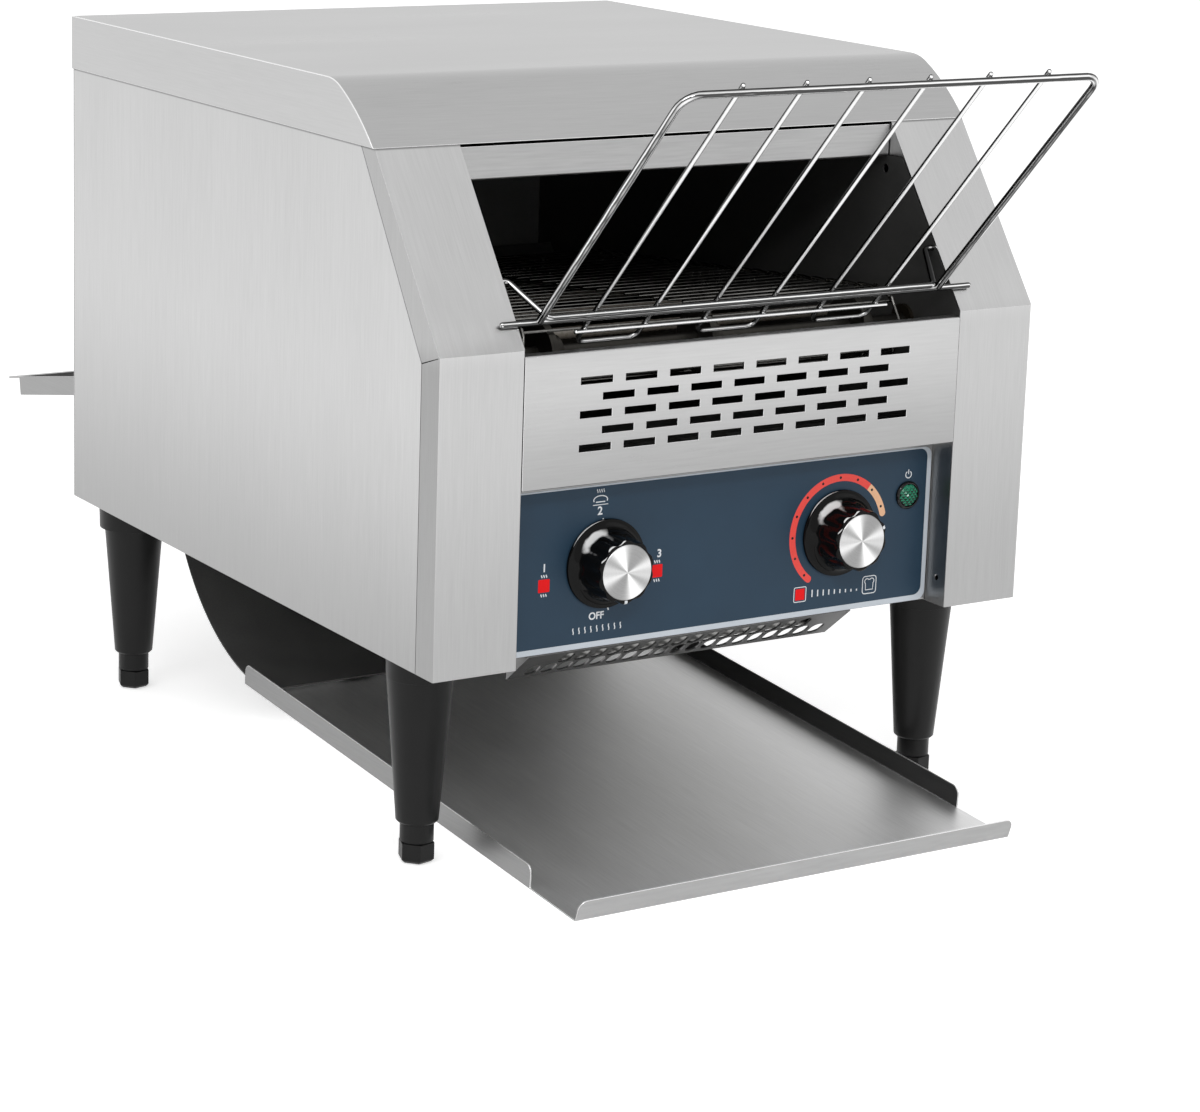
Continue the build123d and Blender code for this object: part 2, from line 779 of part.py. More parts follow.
def feed_rack():
    half = rack_half_w
    foot_along = rack_rod_r - weld
    frame = bent_wire([rack_point(-half, foot_along, 0), rack_point(-half, rack_len, 0),
                       rack_point(half, rack_len, 0), rack_point(half, foot_along, 0)],
                      frame_rod_r, rack_corner_r)
    spot = cross_spot()
    cross = cross_rod(-rack_cross_half, rack_cross_half, spot.Y, spot.Z, rack_rod_r)
    hook_spot = rack_point(0, 2 * rack_rod_r - weld, 0)
    reach = inner_wall_x + sheet + 3.0
    hook = bent_wire([(-reach, rack_hook_y, rack_hook_z),
                      (-inner_wall_x + 5.0, rack_hook_y, rack_hook_z),
                      (-rack_hook_half, hook_spot[1], hook_spot[2]),
                      (rack_hook_half, hook_spot[1], hook_spot[2]),
                      (inner_wall_x - 5.0, rack_hook_y, rack_hook_z),
                      (reach, rack_hook_y, rack_hook_z)],
                     rack_rod_r, rack_hook_bend_r)
    rack = frame + cross + hook
    for pair in range(rack_wire_count // 2):
        x_low = (2 * pair - (rack_wire_count - 1) / 2) * rack_wire_pitch
        x_high = x_low + rack_wire_pitch
        top = rack_len + rack_wire_tip
        tail = -rack_wire_tail
        rack += bent_wire([rack_point(x_low, top, rack_wire_line(top)),
                           rack_point(x_low, tail, rack_wire_line(tail)),
                           rack_point(x_high, tail, rack_wire_line(tail)),
                           rack_point(x_high, top, rack_wire_line(top))],
                          rack_wire_r, 5.0)
    short_along = -12.0
    short_off = rack_wire_line(short_along) - 2 * rack_wire_r + weld
    short_x = rack_wire_pitch * (rack_wire_count - 1) / 2 + 7
    end = rack_point(0, short_along, short_off)
    return rack + cross_rod(-short_x, short_x, end[1], end[2], rack_wire_r)


# Chute and trays

def tray_place():
    return Pos(0, tray_front_y, tray_front_z) * Rot(X=tray_tilt_deg)


def tray_floor_z(y):
    # top face of the tray's floor
    tilt = math.radians(tray_tilt_deg)
    return tray_front_z + tray_sheet / math.cos(tilt) + (y - tray_front_y) * math.tan(tilt)


def chute_end_y():
    return chute_back_y - chute_r + chute_r * math.sin(math.radians(tray_tilt_deg))


def tray_len():
    # the tray's floor runs back under the chute's end
    return (chute_end_y() + tray_overlap - tray_front_y) / math.cos(math.radians(tray_tilt_deg))


def chute_centre():
    tilt = math.radians(tray_tilt_deg)
    centre_y = chute_back_y - chute_r
    end_y = chute_end_y()
    outer = chute_r + sheet
    return centre_y, tray_floor_z(end_y) + tray_slide_gap + outer * math.cos(tilt)


def toast_chute():
    centre_y, centre_z = chute_centre()
    tilt = math.radians(tray_tilt_deg)
    back = Line((chute_back_y, chute_top_z), (chute_back_y, centre_z))
    curve = JernArc(back @ 1, (0, -1), chute_r, -(90 - tray_tilt_deg))
    tip = curve @ 1
    lip_end = (tip.X - chute_lip * math.cos(tilt), tip.Y - chute_lip * math.sin(tilt))
    lip = Line(tip, lip_end)
    lead = Line((chute_back_y + 9, chute_top_z + 9), back @ 0)
    strip = make_face(offset(Wire([lead, back, curve, lip]), amount=sheet, side=Side.LEFT))
    reach = inner_wall_x - 0.3
    chute = extrude(Plane.YZ.offset(-reach) * strip, amount=2 * reach)
    rear_y = chute_end_y() + tray_overlap
    under = rear_y + 1.5
    hook_z = tray_floor_z(rear_y) - tray_sheet / math.cos(tilt) - 0.3
    drop = math.tan(tilt)
    root_z = centre_z - chute_r * math.cos(math.asin((under - centre_y) / chute_r)) - 0.4
    hook = [(under, root_z), (under, hook_z + (under - rear_y) * drop),
            (under - 24, hook_z + (under - 24 - rear_y) * drop),
            (under - 24, hook_z - sheet + (under - 24 - rear_y) * drop),
            (under + 1.2, hook_z - sheet + (under - rear_y) * drop), (under + 1.2, root_z + 0.1)]
    for x in (-tongue_x, tongue_x):
        chute += side_plate(hook, x - tongue_w / 2, x + tongue_w / 2)
    for side in (-1, 1):
        x = sorted((side * reach, side * (reach - sheet)))
        chute += block(x[0], x[1], chute_back_y + 0.5, chute_back_y + sheet + 8,
                       base_top_z + 8, crumb_z - 6)
    return chute


def output_tray():
    lean = math.radians(tray_lip_lean_deg)
    lip_top = (-tray_lip_h * math.sin(lean), tray_lip_h * math.cos(lean))
    long = tray_len()
    pan = folded([lip_top, (0, 0), (long, 0)], tray_sheet, -tray_half_w, tray_half_w, bend=1.0)
    corners = pan.edges().filter_by(lambda edge: edge.length < tray_sheet * 1.05).sort_by(Axis.Z)
    pan = fillet(corners[-2:], tray_corner_r)
    outline = Pos((tray_wall_start + long) / 2, tray_wall_h / 2) * Rectangle(
        long - tray_wall_start, tray_wall_h)
    outline = fillet(outline.vertices().sort_by(Axis.Y)[-2:], tray_corner_r)
    wall = extrude(Plane.YZ.offset(tray_half_w - tray_sheet) * outline, amount=tray_sheet)
    return tray_place() * (pan + wall + mirrored(wall))


def crumb_place():
    return Pos(0, casing_d + seat + sheet, crumb_z) * Rot(X=-crumb_tilt_deg)


def crumb_tray():
    wide = 2 * crumb_half_w
    long = crumb_out + crumb_in
    mid = (crumb_out - crumb_in) / 2
    shell = Pos(0, mid, crumb_wall_h / 2) * Box(wide, long, crumb_wall_h)
    shell = fillet(shell.edges().filter_by(Axis.Z).sort_by(Axis.Y)[-2:], 3)
    pocket = Pos(0, mid, crumb_wall_h / 2 + sheet) * Box(wide - 2 * sheet, long - 2 * sheet,
                                                         crumb_wall_h)
    lip = Pos(0, crumb_out + crumb_lip / 2 - 0.5, crumb_wall_h - sheet / 2) * Box(
        wide - 2, crumb_lip + 1, sheet)
    lip = fillet(lip.edges().filter_by(Axis.Z).sort_by(Axis.Y)[-2:], 3)
    return crumb_place() * (shell - pocket + lip)


def crumb_runners():
    runners = []
    for side in (-1, 1):
        x_mid = side * (crumb_half_w - 7)
        shelf = Pos(x_mid, -crumb_in / 2 - 1.4, -crumb_gap - sheet / 2) * Box(12, crumb_in - 1, sheet)
        tab = Pos(x_mid, -1.9, -crumb_gap - sheet / 2 - 5) * Box(12, sheet, 10)
        runners.append(crumb_place() * (shelf + tab))
    return Compound(children=runners)


# Controls

def knob_axis(x):
    return Plane(origin=(x, knob_base_y, knob_z), x_dir=(1, 0, 0), z_dir=(0, -1, 0))


def knob_grip(turn_deg):
    # flared skirt, fluted grip and a round recess for the metal cap
    base = Line((0, 0), (knob_flange_r, 0))
    rim = Line(base @ 1, (knob_flange_r, 1.6))
    flare = ThreePointArc(rim @ 1, (knob_flange_r - 3.4, 4.1), (knob_grip_r, 7.5))
    wall = Line(flare @ 1, (knob_front_r, knob_h - 1.2))
    round_off = Line(wall @ 1, (knob_front_r - 1.2, knob_h))
    face = Line(round_off @ 1, (0, knob_h))
    axis_line = Line(face @ 1, (0, 0))
    profile = make_face([base, rim, flare, wall, round_off, face, axis_line])
    grip = revolve(Plane.XZ * profile, Axis.Z, 360)
    centre = knob_grip_r - flute_depth + flute_r
    flutes = PolarLocations(centre, flute_count, start_angle=360 / flute_count / 2)
    cutter = Cylinder(flute_r, knob_h, align=(Align.CENTER, Align.CENTER, Align.MIN))
    grip -= flutes * (Pos(0, 0, 6.2) * cutter)
    recess = Pos(0, 0, knob_h - cap_t + cap_proud) * Cylinder(
        cap_r + 0.1, cap_t, align=(Align.CENTER, Align.CENTER, Align.MIN))
    socket = Cylinder(spindle_r + 0.02, knob_h - 6, align=(Align.CENTER, Align.CENTER, Align.MIN))
    mark = Rot(Z=turn_deg) * Pos(knob_front_r - 1.5, 0, knob_h) * Box(5, 1.2, 0.8)
    return grip - recess - socket - mark


def knob_cap():
    low = knob_h - cap_t + cap_proud
    disc = Pos(0, 0, low) * Cylinder(cap_r, cap_t, align=(Align.CENTER, Align.CENTER, Align.MIN))
    return chamfer(disc.edges().sort_by(Axis.Z)[-1:], 0.4)


def spindle():
    long = knob_h - 7 + knob_gap + overlay_t + sheet + 10
    return Pos(0, 0, knob_h - 7 - long) * Cylinder(
        spindle_r, long, align=(Align.CENTER, Align.CENTER, Align.MIN))


def rotary_switch():
    front = control_y + sheet + seat
    body = block(heat_x - 19, heat_x + 19, front, front + 28, knob_z - 19, knob_z + 19)
    body = chamfer(body.edges().filter_by(Axis.Y), 4)
    for row in (0, 1):
        for x in (-10, 0, 10):
            tab_x = heat_x + x
            tab_z = knob_z - 8 + 16 * row
            body += block(tab_x - 3, tab_x + 3, front + 28, front + 35, tab_z - 0.4, tab_z + 0.4)
    bore = rod((heat_x, front - 1, knob_z), (heat_x, front + 12, knob_z), spindle_r + spindle_play)
    return body - bore


def potentiometer():
    front = control_y + sheet + seat
    body = rod((speed_x, front, knob_z), (speed_x, front + 12, knob_z), 12)
    body += block(speed_x - 8, speed_x + 8, front + 3, front + 5, knob_z - 19, knob_z - 8)
    for x in (-5, 0, 5):
        body += block(speed_x + x - 0.8, speed_x + x + 0.8, front + 3.6, front + 4.4,
                      knob_z - 25, knob_z - 18)
    bore = rod((speed_x, front - 1, knob_z), (speed_x, front + 11, knob_z),
               spindle_r + spindle_play)
    return body - bore


def lamp_bezel():
    axis = Plane(origin=(lamp_x, overlay_face_y, lamp_z), x_dir=(1, 0, 0), z_dir=(0, -1, 0))
    ring = extrude(Circle(lamp_bezel_r), amount=1.8)
    ring = chamfer(ring.edges().sort_by(Axis.Z)[-1:], 0.7)
    tube = Pos(0, 0, -22) * Cylinder(lamp_hole_r - 0.1, 22,
                                     align=(Align.CENTER, Align.CENTER, Align.MIN))
    socket = Pos(0, 0, -8) * Cylinder(4.6, 12, align=(Align.CENTER, Align.CENTER, Align.MIN))
    mouth = Pos(0, 0, 0.6) * Cylinder(lamp_lens_r + 0.05, 3,
                                      align=(Align.CENTER, Align.CENTER, Align.MIN))
    return axis * (ring + tube - socket - mouth)


def lamp_lens():
    axis = Plane(origin=(lamp_x, overlay_face_y, lamp_z), x_dir=(1, 0, 0), z_dir=(0, -1, 0))
    rim_z = 2.2
    dome_r = (lamp_lens_r ** 2 + lamp_dome_h ** 2) / (2 * lamp_dome_h)
    barrel = Pos(0, 0, 0.7) * Cylinder(lamp_lens_r, 5,
                                       align=(Align.CENTER, Align.CENTER, Align.MIN))
    ball = Pos(0, 0, rim_z + lamp_dome_h - dome_r) * Sphere(dome_r)
    return axis * (barrel & ball)


# Legs and feet

def leg(x, y, collar_r):
    # tapered, with a moulded collar on the rear pair
    profile = make_face(Polyline(
        (0, casing_z), (collar_r, casing_z), (collar_r - 0.4, casing_z - leg_collar_h),
        (leg_top_r - 0.6, casing_z - leg_collar_h), (leg_low_r, leg_low_z + 1),
        (leg_low_r - 1, leg_low_z), (leg_neck_r, leg_low_z),
        (leg_neck_r, foot_h + seat), (0, foot_h + seat), close=True))
    body = revolve(Plane.XZ * profile, Axis.Z, 360)
    bore = Pos(0, 0, foot_h) * Cylinder(stud_r + running_play, casing_z,
                                        align=(Align.CENTER, Align.CENTER, Align.MIN))
    return Pos(x, y, 0) * (body - bore)


def foot(x, y):
    hexagon = RegularPolygon(foot_across / 2, 6, major_radius=False)
    body = extrude(hexagon, amount=foot_h - seam)
    body = chamfer(body.edges().group_by(Axis.Z)[0], 1.6)
    stud = Pos(0, 0, foot_h - seam) * Cylinder(stud_r, stud_l,
                                               align=(Align.CENTER, Align.CENTER, Align.MIN))
    return Pos(x, y, 0) * Rot(Z=12) * (body + stud)


def leg_bolts():
    bolts = []
    for x in (-leg_x, leg_x):
        for y in (leg_front_y, leg_rear_y):
            head = extrude(Pos(0, 0, base_top_z) * RegularPolygon(6.5, 6, major_radius=False),
                           amount=5)
            shank = Pos(0, 0, casing_z - 16) * Cylinder(
                stud_r, 16 + base_top_z - casing_z, align=(Align.CENTER, Align.CENTER, Align.MIN))
            bolts.append(Pos(x, y, 0) * (head + shank))
    return Compound(children=bolts)


# Heaters, fan and electrics

def heaters(spots):
    tubes = []
    for y, z in spots:
        tube = cross_rod(-heater_end_x, heater_end_x, y, z, heater_r)
        pins = cross_rod(-heater_end_x - 8, heater_end_x + 8, y, z, 1.5)
        tubes.append(tube + pins)
    return Compound(children=tubes)


def heater_collars():
    collars = []
    for y, z in heater_spots():
        for side in (-1, 1):
            near = side * (inner_wall_x + sheet + seat)
            far = near + side * 9
            ring = cross_rod(min(near, far), max(near, far), y, z, collar_r)
            collars.append(ring - cross_rod(-180, 180, y, z, heater_r + 0.03))
    return Compound(children=collars)


def fan_frame():
    low = base_top_z + seat
    frame = Pos(0, 0, low) * extrude(RectangleRounded(fan_size, fan_size, 4), amount=fan_h)
    frame -= Pos(0, 0, low - 1) * Cylinder(fan_size / 2 - 2.5, fan_h + 2,
                                           align=(Align.CENTER, Align.CENTER, Align.MIN))
    for turn in (45, 135):
        frame += Rot(Z=turn) * Pos(0, 0, low + 1.5) * Box(fan_size - 4, 6, 3)
    frame += Pos(0, 0, low) * Cylinder(14, 3, align=(Align.CENTER, Align.CENTER, Align.MIN))
    bore = Pos(0, 0, low - 1) * Cylinder(2 + running_play, 9,
                                         align=(Align.CENTER, Align.CENTER, Align.MIN))
    return Pos(fan_x, fan_y, 0) * (frame - bore)


def fan_rotor():
    low = base_top_z + seat + 3.6
    hub = Pos(0, 0, low) * Cylinder(15, 19, align=(Align.CENTER, Align.CENTER, Align.MIN))
    pin = Pos(0, 0, low - 3) * Cylinder(2, 4, align=(Align.CENTER, Align.CENTER, Align.MIN))
    rotor = hub + pin
    blade_r = fan_size / 2 - 4.5
    for index in range(fan_blade_count):
        blade = Pos(blade_r / 2 + 6.5, 0, low + 9.5) * Rot(X=38) * Box(blade_r - 13, 20, 1.4)
        rotor += Rot(Z=index * 360 / fan_blade_count) * blade
    reach = Pos(0, 0, low) * Cylinder(blade_r, 19, align=(Align.CENTER, Align.CENTER, Align.MIN))
    return Pos(fan_x, fan_y, 0) * (rotor & reach)


def speed_board():
    low = base_top_z
    board = block(0, board_w, 0, board_d, 8, 9.6)
    for x in (5, board_w - 5):
        for y in (5, board_d - 5):
            board += rod((x, y, 0), (x, y, 8.5), 2.5)
    board += block(10, 30, 12, 42, 9.6, 30)
    for fin in range(5):
        board -= block(12 + 3.8 * fin, 13.8 + 3.8 * fin, 11, 43, 15, 31)
    for x in (46, 64):
        board += rod((x, 17, 9.6), (x, 17, 31), 6)
    board += block(40, 72, 32, 46, 9.6, 21)
    return Pos(board_x, bay_rear_y - board_bay_gap - board_d, low) * board


def terminal_block():
    low = base_top_z
    body = block(0, terminal_w, 0, terminal_d, 0, 18)
    for pole in range(4):
        x = (pole + 0.5) * terminal_w / 4
        body -= rod((x, terminal_d / 2, 8), (x, terminal_d / 2, 19), 3.4)
        body -= rod((x, -1, 8), (x, terminal_d + 1, 8), 2.2)
    start_x = terminal_wall_gap - half_open
    return Pos(start_x, bay_rear_y - terminal_bay_gap - terminal_d, low) * body


def cable_gland():
    y = casing_d + seat
    axis = Plane(origin=(gland_x, y + sheet, gland_z), x_dir=(1, 0, 0), z_dir=(0, 1, 0))
    nut = extrude(RegularPolygon(11, 6, major_radius=False), amount=6)
    dome = Pos(0, 0, 6) * Cone(9.8, 7.5, 9, align=(Align.CENTER, Align.CENTER, Align.MIN))
    thread = Pos(0, 0, -12) * Cylinder(8, 13, align=(Align.CENTER, Align.CENTER, Align.MIN))
    locknut = Pos(0, 0, -sheet - 4) * extrude(RegularPolygon(11, 6, major_radius=False), amount=4)
    bore = Pos(0, 0, -13) * Cylinder(gland_bore_r, 40,
                                     align=(Align.CENTER, Align.CENTER, Align.MIN))
    return axis * (nut + dome + thread + locknut - bore)


def pan_screw(radius, thread_l):
    # the cross recess and the thread are left to the looks
    head = Cylinder(radius * 2, 1.6, align=(Align.CENTER, Align.CENTER, Align.MIN))
    thread = Cylinder(radius, thread_l, align=(Align.CENTER, Align.CENTER, Align.MAX))
    return head + thread


def rear_screw_spots():
    spots = []
    for x in (rear_screw_inset - half_w, half_w - rear_screw_inset):
        for share in rear_screw_shares:
            spots.append((x, casing_z + share * (brow_z - casing_z)))
    return spots


def rear_screws():
    y = casing_d + seat + sheet
    screws = []
    for x, z in rear_screw_spots():
        axis = Plane(origin=(x, y, z), x_dir=(1, 0, 0), z_dir=(0, 1, 0))
        screws.append(axis * pan_screw(screw_r, 7))
    return Compound(children=screws)


def screw_cut(shape):
    # clearance holes for the rear screws
    for x, z in rear_screw_spots():
        shape -= rod((x, casing_d - 8, z), (x, casing_d + 5, z), screw_hole_r)
    return shape


def grille_screw_spots():
    return grille_x_low + grille_screw_inset, grille_x_high - grille_screw_inset


def grille_screws():
    z = control_low_z - seat - sheet
    screws = []
    for x in grille_screw_spots():
        axis = Plane(origin=(x, control_y + grille_screw_back, z), x_dir=(1, 0, 0), z_dir=(0, 0, -1))
        screws.append(axis * pan_screw(screw_r, 5))
    return Compound(children=screws)


def grille_cut(shape):
    for x in grille_screw_spots():
        y = control_y + grille_screw_back
        shape -= rod((x, y, casing_z - 2), (x, y, casing_z + 8), screw_hole_r)
    return shape


def build_parts():
    left = mirrored
    side = screw_cut(side_panel())
    post = pillar()
    spots = heater_spots()
    count = len(upper_heater_y)
    parts = {
        "hood": hood(),
        "side_panel_right": side,
        "side_panel_left": left(side),
        "pillar_right": post,
        "pillar_left": left(post),
        "feed_header": feed_header(),
        "vent_panel": vent_panel(),
        "control_panel": grille_cut(control_panel()),
        "control_overlay": control_overlay(),
        "air_grille": grille_cut(air_grille()),
        "base_plate": base_plate(),
        "rear_panel": screw_cut(rear_panel()),
        "inner_wall_right": inner_wall(1),
        "inner_wall_left": inner_wall(-1),
        "top_reflector": top_reflector(),
        "lower_reflector": lower_reflector(),
        "chamber_floor": chamber_floor(),
        "oven_back": oven_back(),
        "conveyor_belt": conveyor_belt(),
        "front_shaft": shaft(front_shaft_y, front_shaft_z, chain_x - 6, inner_wall_x + 12),
        "rear_shaft": shaft(rear_shaft_y, rear_shaft_z, -inner_wall_x - 12, inner_wall_x + 12),
        "front_sprockets": belt_sprockets(front_shaft_y, front_shaft_z),
        "rear_sprockets": belt_sprockets(rear_shaft_y, rear_shaft_z),
        "shaft_bushes": shaft_bushes(),
        "driven_chain_wheel": chain_wheel(front_shaft_y, front_shaft_z),
        "motor_chain_wheel": chain_wheel(motor_y, motor_z),
        "drive_chain": drive_chain(),
        "gear_motor": gear_motor(),
        "motor_shaft": motor_shaft(),
        "feed_rack": feed_rack(),
        "toast_chute": toast_chute(),
        "output_tray": output_tray(),
        "crumb_tray": crumb_tray(),
        "crumb_runners": crumb_runners(),
        "heat_knob": knob_axis(heat_x) * knob_grip(-90),
        "heat_knob_cap": knob_axis(heat_x) * knob_cap(),
        "heat_spindle": knob_axis(heat_x) * spindle(),
        "speed_knob": knob_axis(speed_x) * knob_grip(speed_rest_deg),
        "speed_knob_cap": knob_axis(speed_x) * knob_cap(),
        "speed_spindle": knob_axis(speed_x) * spindle(),
        "rotary_switch": rotary_switch(),
        "potentiometer": potentiometer(),
        "lamp_bezel": lamp_bezel(),
        "lamp_lens": lamp_lens(),
        "upper_heaters": heaters(spots[:count]),
        "lower_heaters": heaters(spots[count:]),
        "heater_collars": heater_collars(),
        "fan_frame": fan_frame(),
        "fan_rotor": fan_rotor(),
        "speed_board": speed_board(),
        "terminal_block": terminal_block(),
        "cable_gland": cable_gland(),
        "leg_bolts": leg_bolts(),
        "rear_screws": rear_screws(),
        "grille_screws": grille_screws(),
    }
    places = {"front_left": (-leg_x, leg_front_y), "front_right": (leg_x, leg_front_y),
              "rear_left": (-leg_x, leg_rear_y), "rear_right": (leg_x, leg_rear_y)}
    feet = []
    for name, (x, y) in places.items():
        parts["foot_" + name] = foot(x, y)
        feet.append(leg(x, y, leg_collar_r if y > fan_y else leg_top_r))
    parts["legs"] = Compound(children=feet)
    return parts


def middle_y(parts):
    # halfway between the rack's foremost rod and the crumb tray's lip
    front = parts["feed_rack"].bounding_box().min.Y
    rear = parts["crumb_tray"].bounding_box().max.Y
    return (front + rear) / 2


def main():
    os.makedirs("parts", exist_ok=True)
    parts = build_parts()
    shift = middle_y(parts)
    for name, shape in parts.items():
        export_step(Pos(0, -shift, 0) * shape, "parts/" + name + ".step")
    print("origin lies", round(shift, 3), "mm behind the casing's front face")
    print(len(parts), "nodes")


main()
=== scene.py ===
import json
from math import atan2, cos, hypot, pi, radians, sin, sqrt, tan

import bmesh
import bpy
from mathutils import Matrix, Vector

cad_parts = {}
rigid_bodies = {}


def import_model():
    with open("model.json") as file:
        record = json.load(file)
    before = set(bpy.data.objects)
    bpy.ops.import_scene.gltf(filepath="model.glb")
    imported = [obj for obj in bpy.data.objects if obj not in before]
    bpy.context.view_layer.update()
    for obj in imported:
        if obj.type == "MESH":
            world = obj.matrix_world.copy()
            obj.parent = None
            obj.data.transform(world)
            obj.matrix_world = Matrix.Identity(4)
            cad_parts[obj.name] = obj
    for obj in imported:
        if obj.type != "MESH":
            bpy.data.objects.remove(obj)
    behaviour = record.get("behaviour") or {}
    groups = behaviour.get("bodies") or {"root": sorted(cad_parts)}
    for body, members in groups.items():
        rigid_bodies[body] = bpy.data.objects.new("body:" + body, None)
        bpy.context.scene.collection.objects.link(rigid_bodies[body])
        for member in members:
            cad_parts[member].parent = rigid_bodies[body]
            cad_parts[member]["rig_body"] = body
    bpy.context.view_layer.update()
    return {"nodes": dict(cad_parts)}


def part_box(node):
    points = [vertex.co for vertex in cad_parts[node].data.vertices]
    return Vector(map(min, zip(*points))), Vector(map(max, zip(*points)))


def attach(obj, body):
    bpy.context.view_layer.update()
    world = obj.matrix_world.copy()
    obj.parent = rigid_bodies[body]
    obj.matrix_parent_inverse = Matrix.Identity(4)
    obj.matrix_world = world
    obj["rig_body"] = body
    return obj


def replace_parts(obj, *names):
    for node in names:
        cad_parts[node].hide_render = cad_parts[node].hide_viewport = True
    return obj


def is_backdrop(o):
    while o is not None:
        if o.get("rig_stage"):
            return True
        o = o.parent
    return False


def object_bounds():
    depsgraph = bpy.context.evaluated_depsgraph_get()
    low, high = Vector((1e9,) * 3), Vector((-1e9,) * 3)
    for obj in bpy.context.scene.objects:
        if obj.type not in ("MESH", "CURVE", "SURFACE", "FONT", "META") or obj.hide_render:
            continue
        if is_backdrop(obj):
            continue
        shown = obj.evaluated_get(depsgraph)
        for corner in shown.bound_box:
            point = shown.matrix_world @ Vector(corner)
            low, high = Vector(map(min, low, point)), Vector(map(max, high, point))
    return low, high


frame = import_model()
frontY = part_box("vent_panel")[0].y  # the casing's front face, where y is 0 below
print("frame loaded:", len(frame["nodes"]), "nodes")


# Shared helpers. Sizes are in millimetres, y counted from the casing's front face.

def place(x, y, z):
    return Vector((x / 1000, frontY + y / 1000, z / 1000))


def mm(value):
    return value / 1000


def arc(x, z, radius, start, end, count):
    turns = [radians(start + (end - start) * i / count) for i in range(count + 1)]
    return [(x + radius * cos(t), z + radius * sin(t)) for t in turns]


def linear(hexColour):
    channels = [int(hexColour[i:i + 2], 16) / 255 for i in (1, 3, 5)]
    return [c / 12.92 if c <= 0.04045 else ((c + 0.055) / 1.055) ** 2.4 for c in channels] + [1.0]


def setAll(thing, **settings):
    for name, value in settings.items():
        setattr(thing, name, value)
    return thing


def addNode(tree, kind, inputs=None, **settings):
    # kind is the node's type without its tree's prefix; an input takes a value, a socket, or a
    # node, which stands for its first output
    prefix = "" if kind.startswith("NodeGroup") else tree.bl_idname.replace("Tree", "")
    node = setAll(tree.nodes.new(prefix + kind), **settings)
    for name, value in (inputs or {}).items():
        if isinstance(value, bpy.types.Node):
            value = value.outputs[0]
        if isinstance(value, bpy.types.NodeSocket):
            tree.links.new(value, node.inputs[name])
        else:
            node.inputs[name].default_value = value
    return node


def newObject(name, data):
    made = bpy.data.objects.new(name, data)
    bpy.context.scene.collection.objects.link(made)
    return made


def smoothed(mesh, sharpAt):
    # sharpAt is the bend in degrees from which an edge stays sharp
    mesh.shade_smooth()
    mesh.set_sharp_from_angle(angle=radians(sharpAt))
    return mesh


def pieceFromMesh(name, mesh, materials, body="casing"):
    piece = newObject(name, mesh)
    for material in materials:
        mesh.materials.append(material)
    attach(piece, body)
    return piece


def meshFromShape(name, shape, sharpAt=35):
    bmesh.ops.recalc_face_normals(shape, faces=shape.faces)
    mesh = bpy.data.meshes.new(name)
    shape.to_mesh(mesh)
    shape.free()
    return smoothed(mesh, sharpAt)


def pieceFromShape(name, shape, material, body="casing", sharpAt=35):
    return pieceFromMesh(name, meshFromShape(name, shape, sharpAt), [material], body)


def skin(shape, rings, ends=True):
    # faces between each ring of corners and the next, and over the first and the last ring; a
    # ring of one corner makes a fan
    for first, second in zip(rings, rings[1:]):
        for i in range(max(len(first), len(second))):
            corners = [ring[k % len(ring)] for ring, k in
                       ((first, i), (first, i + 1), (second, i + 1), (second, i))]
            shape.faces.new(tuple(dict.fromkeys(corners)))
    if ends:
        shape.faces.new(rings[0][::-1])
        shape.faces.new(rings[-1])


def settled(piece):
    # turns the evaluated piece into a plain mesh and takes its modifiers off
    graph = bpy.context.evaluated_depsgraph_get()
    mesh = bpy.data.meshes.new_from_object(piece.evaluated_get(graph), depsgraph=graph)
    piece.modifiers.clear()
    return mesh


def startTree(name, sockets):
    # a Geometry Nodes tree with one geometry input and the named sizes
    tree = bpy.data.node_groups.new(name, "GeometryNodeTree")
    for label, kind in {"Geometry": "Geometry", **sockets}.items():
        tree.interface.new_socket(label, in_out="INPUT", socket_type="NodeSocket" + kind)
    tree.interface.new_socket("Geometry", in_out="OUTPUT", socket_type="NodeSocketGeometry")
    return tree, addNode(tree, "NodeGroupInput").outputs


def endTree(tree, geometry, sizes):
    real = addNode(tree, "RealizeInstances", {"Geometry": geometry})
    finished = addNode(tree, "SetMaterial", {"Geometry": real, "Material": sizes["Material"]})
    addNode(tree, "NodeGroupOutput", {"Geometry": finished})


def grown(name, seedMesh, tree, sizes, body, sharpAt=40):
    # runs a tree on a seed mesh and keeps what grows as a plain piece
    piece = newObject(name, seedMesh)
    modifier = piece.modifiers.new(tree.name, "NODES")
    modifier.node_group = tree
    for item in tree.interface.items_tree:
        if item.in_out == "INPUT" and item.name in sizes:
            modifier[item.identifier] = sizes[item.name]
    piece.data = smoothed(settled(piece), sharpAt)
    if body:
        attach(piece, body)
    return piece


def linesMesh(name, paths):
    mesh = bpy.data.meshes.new(name)
    points, edges = [], []
    for path in paths:
        start = len(points)
        points += path
        edges += [(i, i + 1) for i in range(start, len(points) - 1)]
    mesh.from_pydata(points, edges, [])
    return mesh


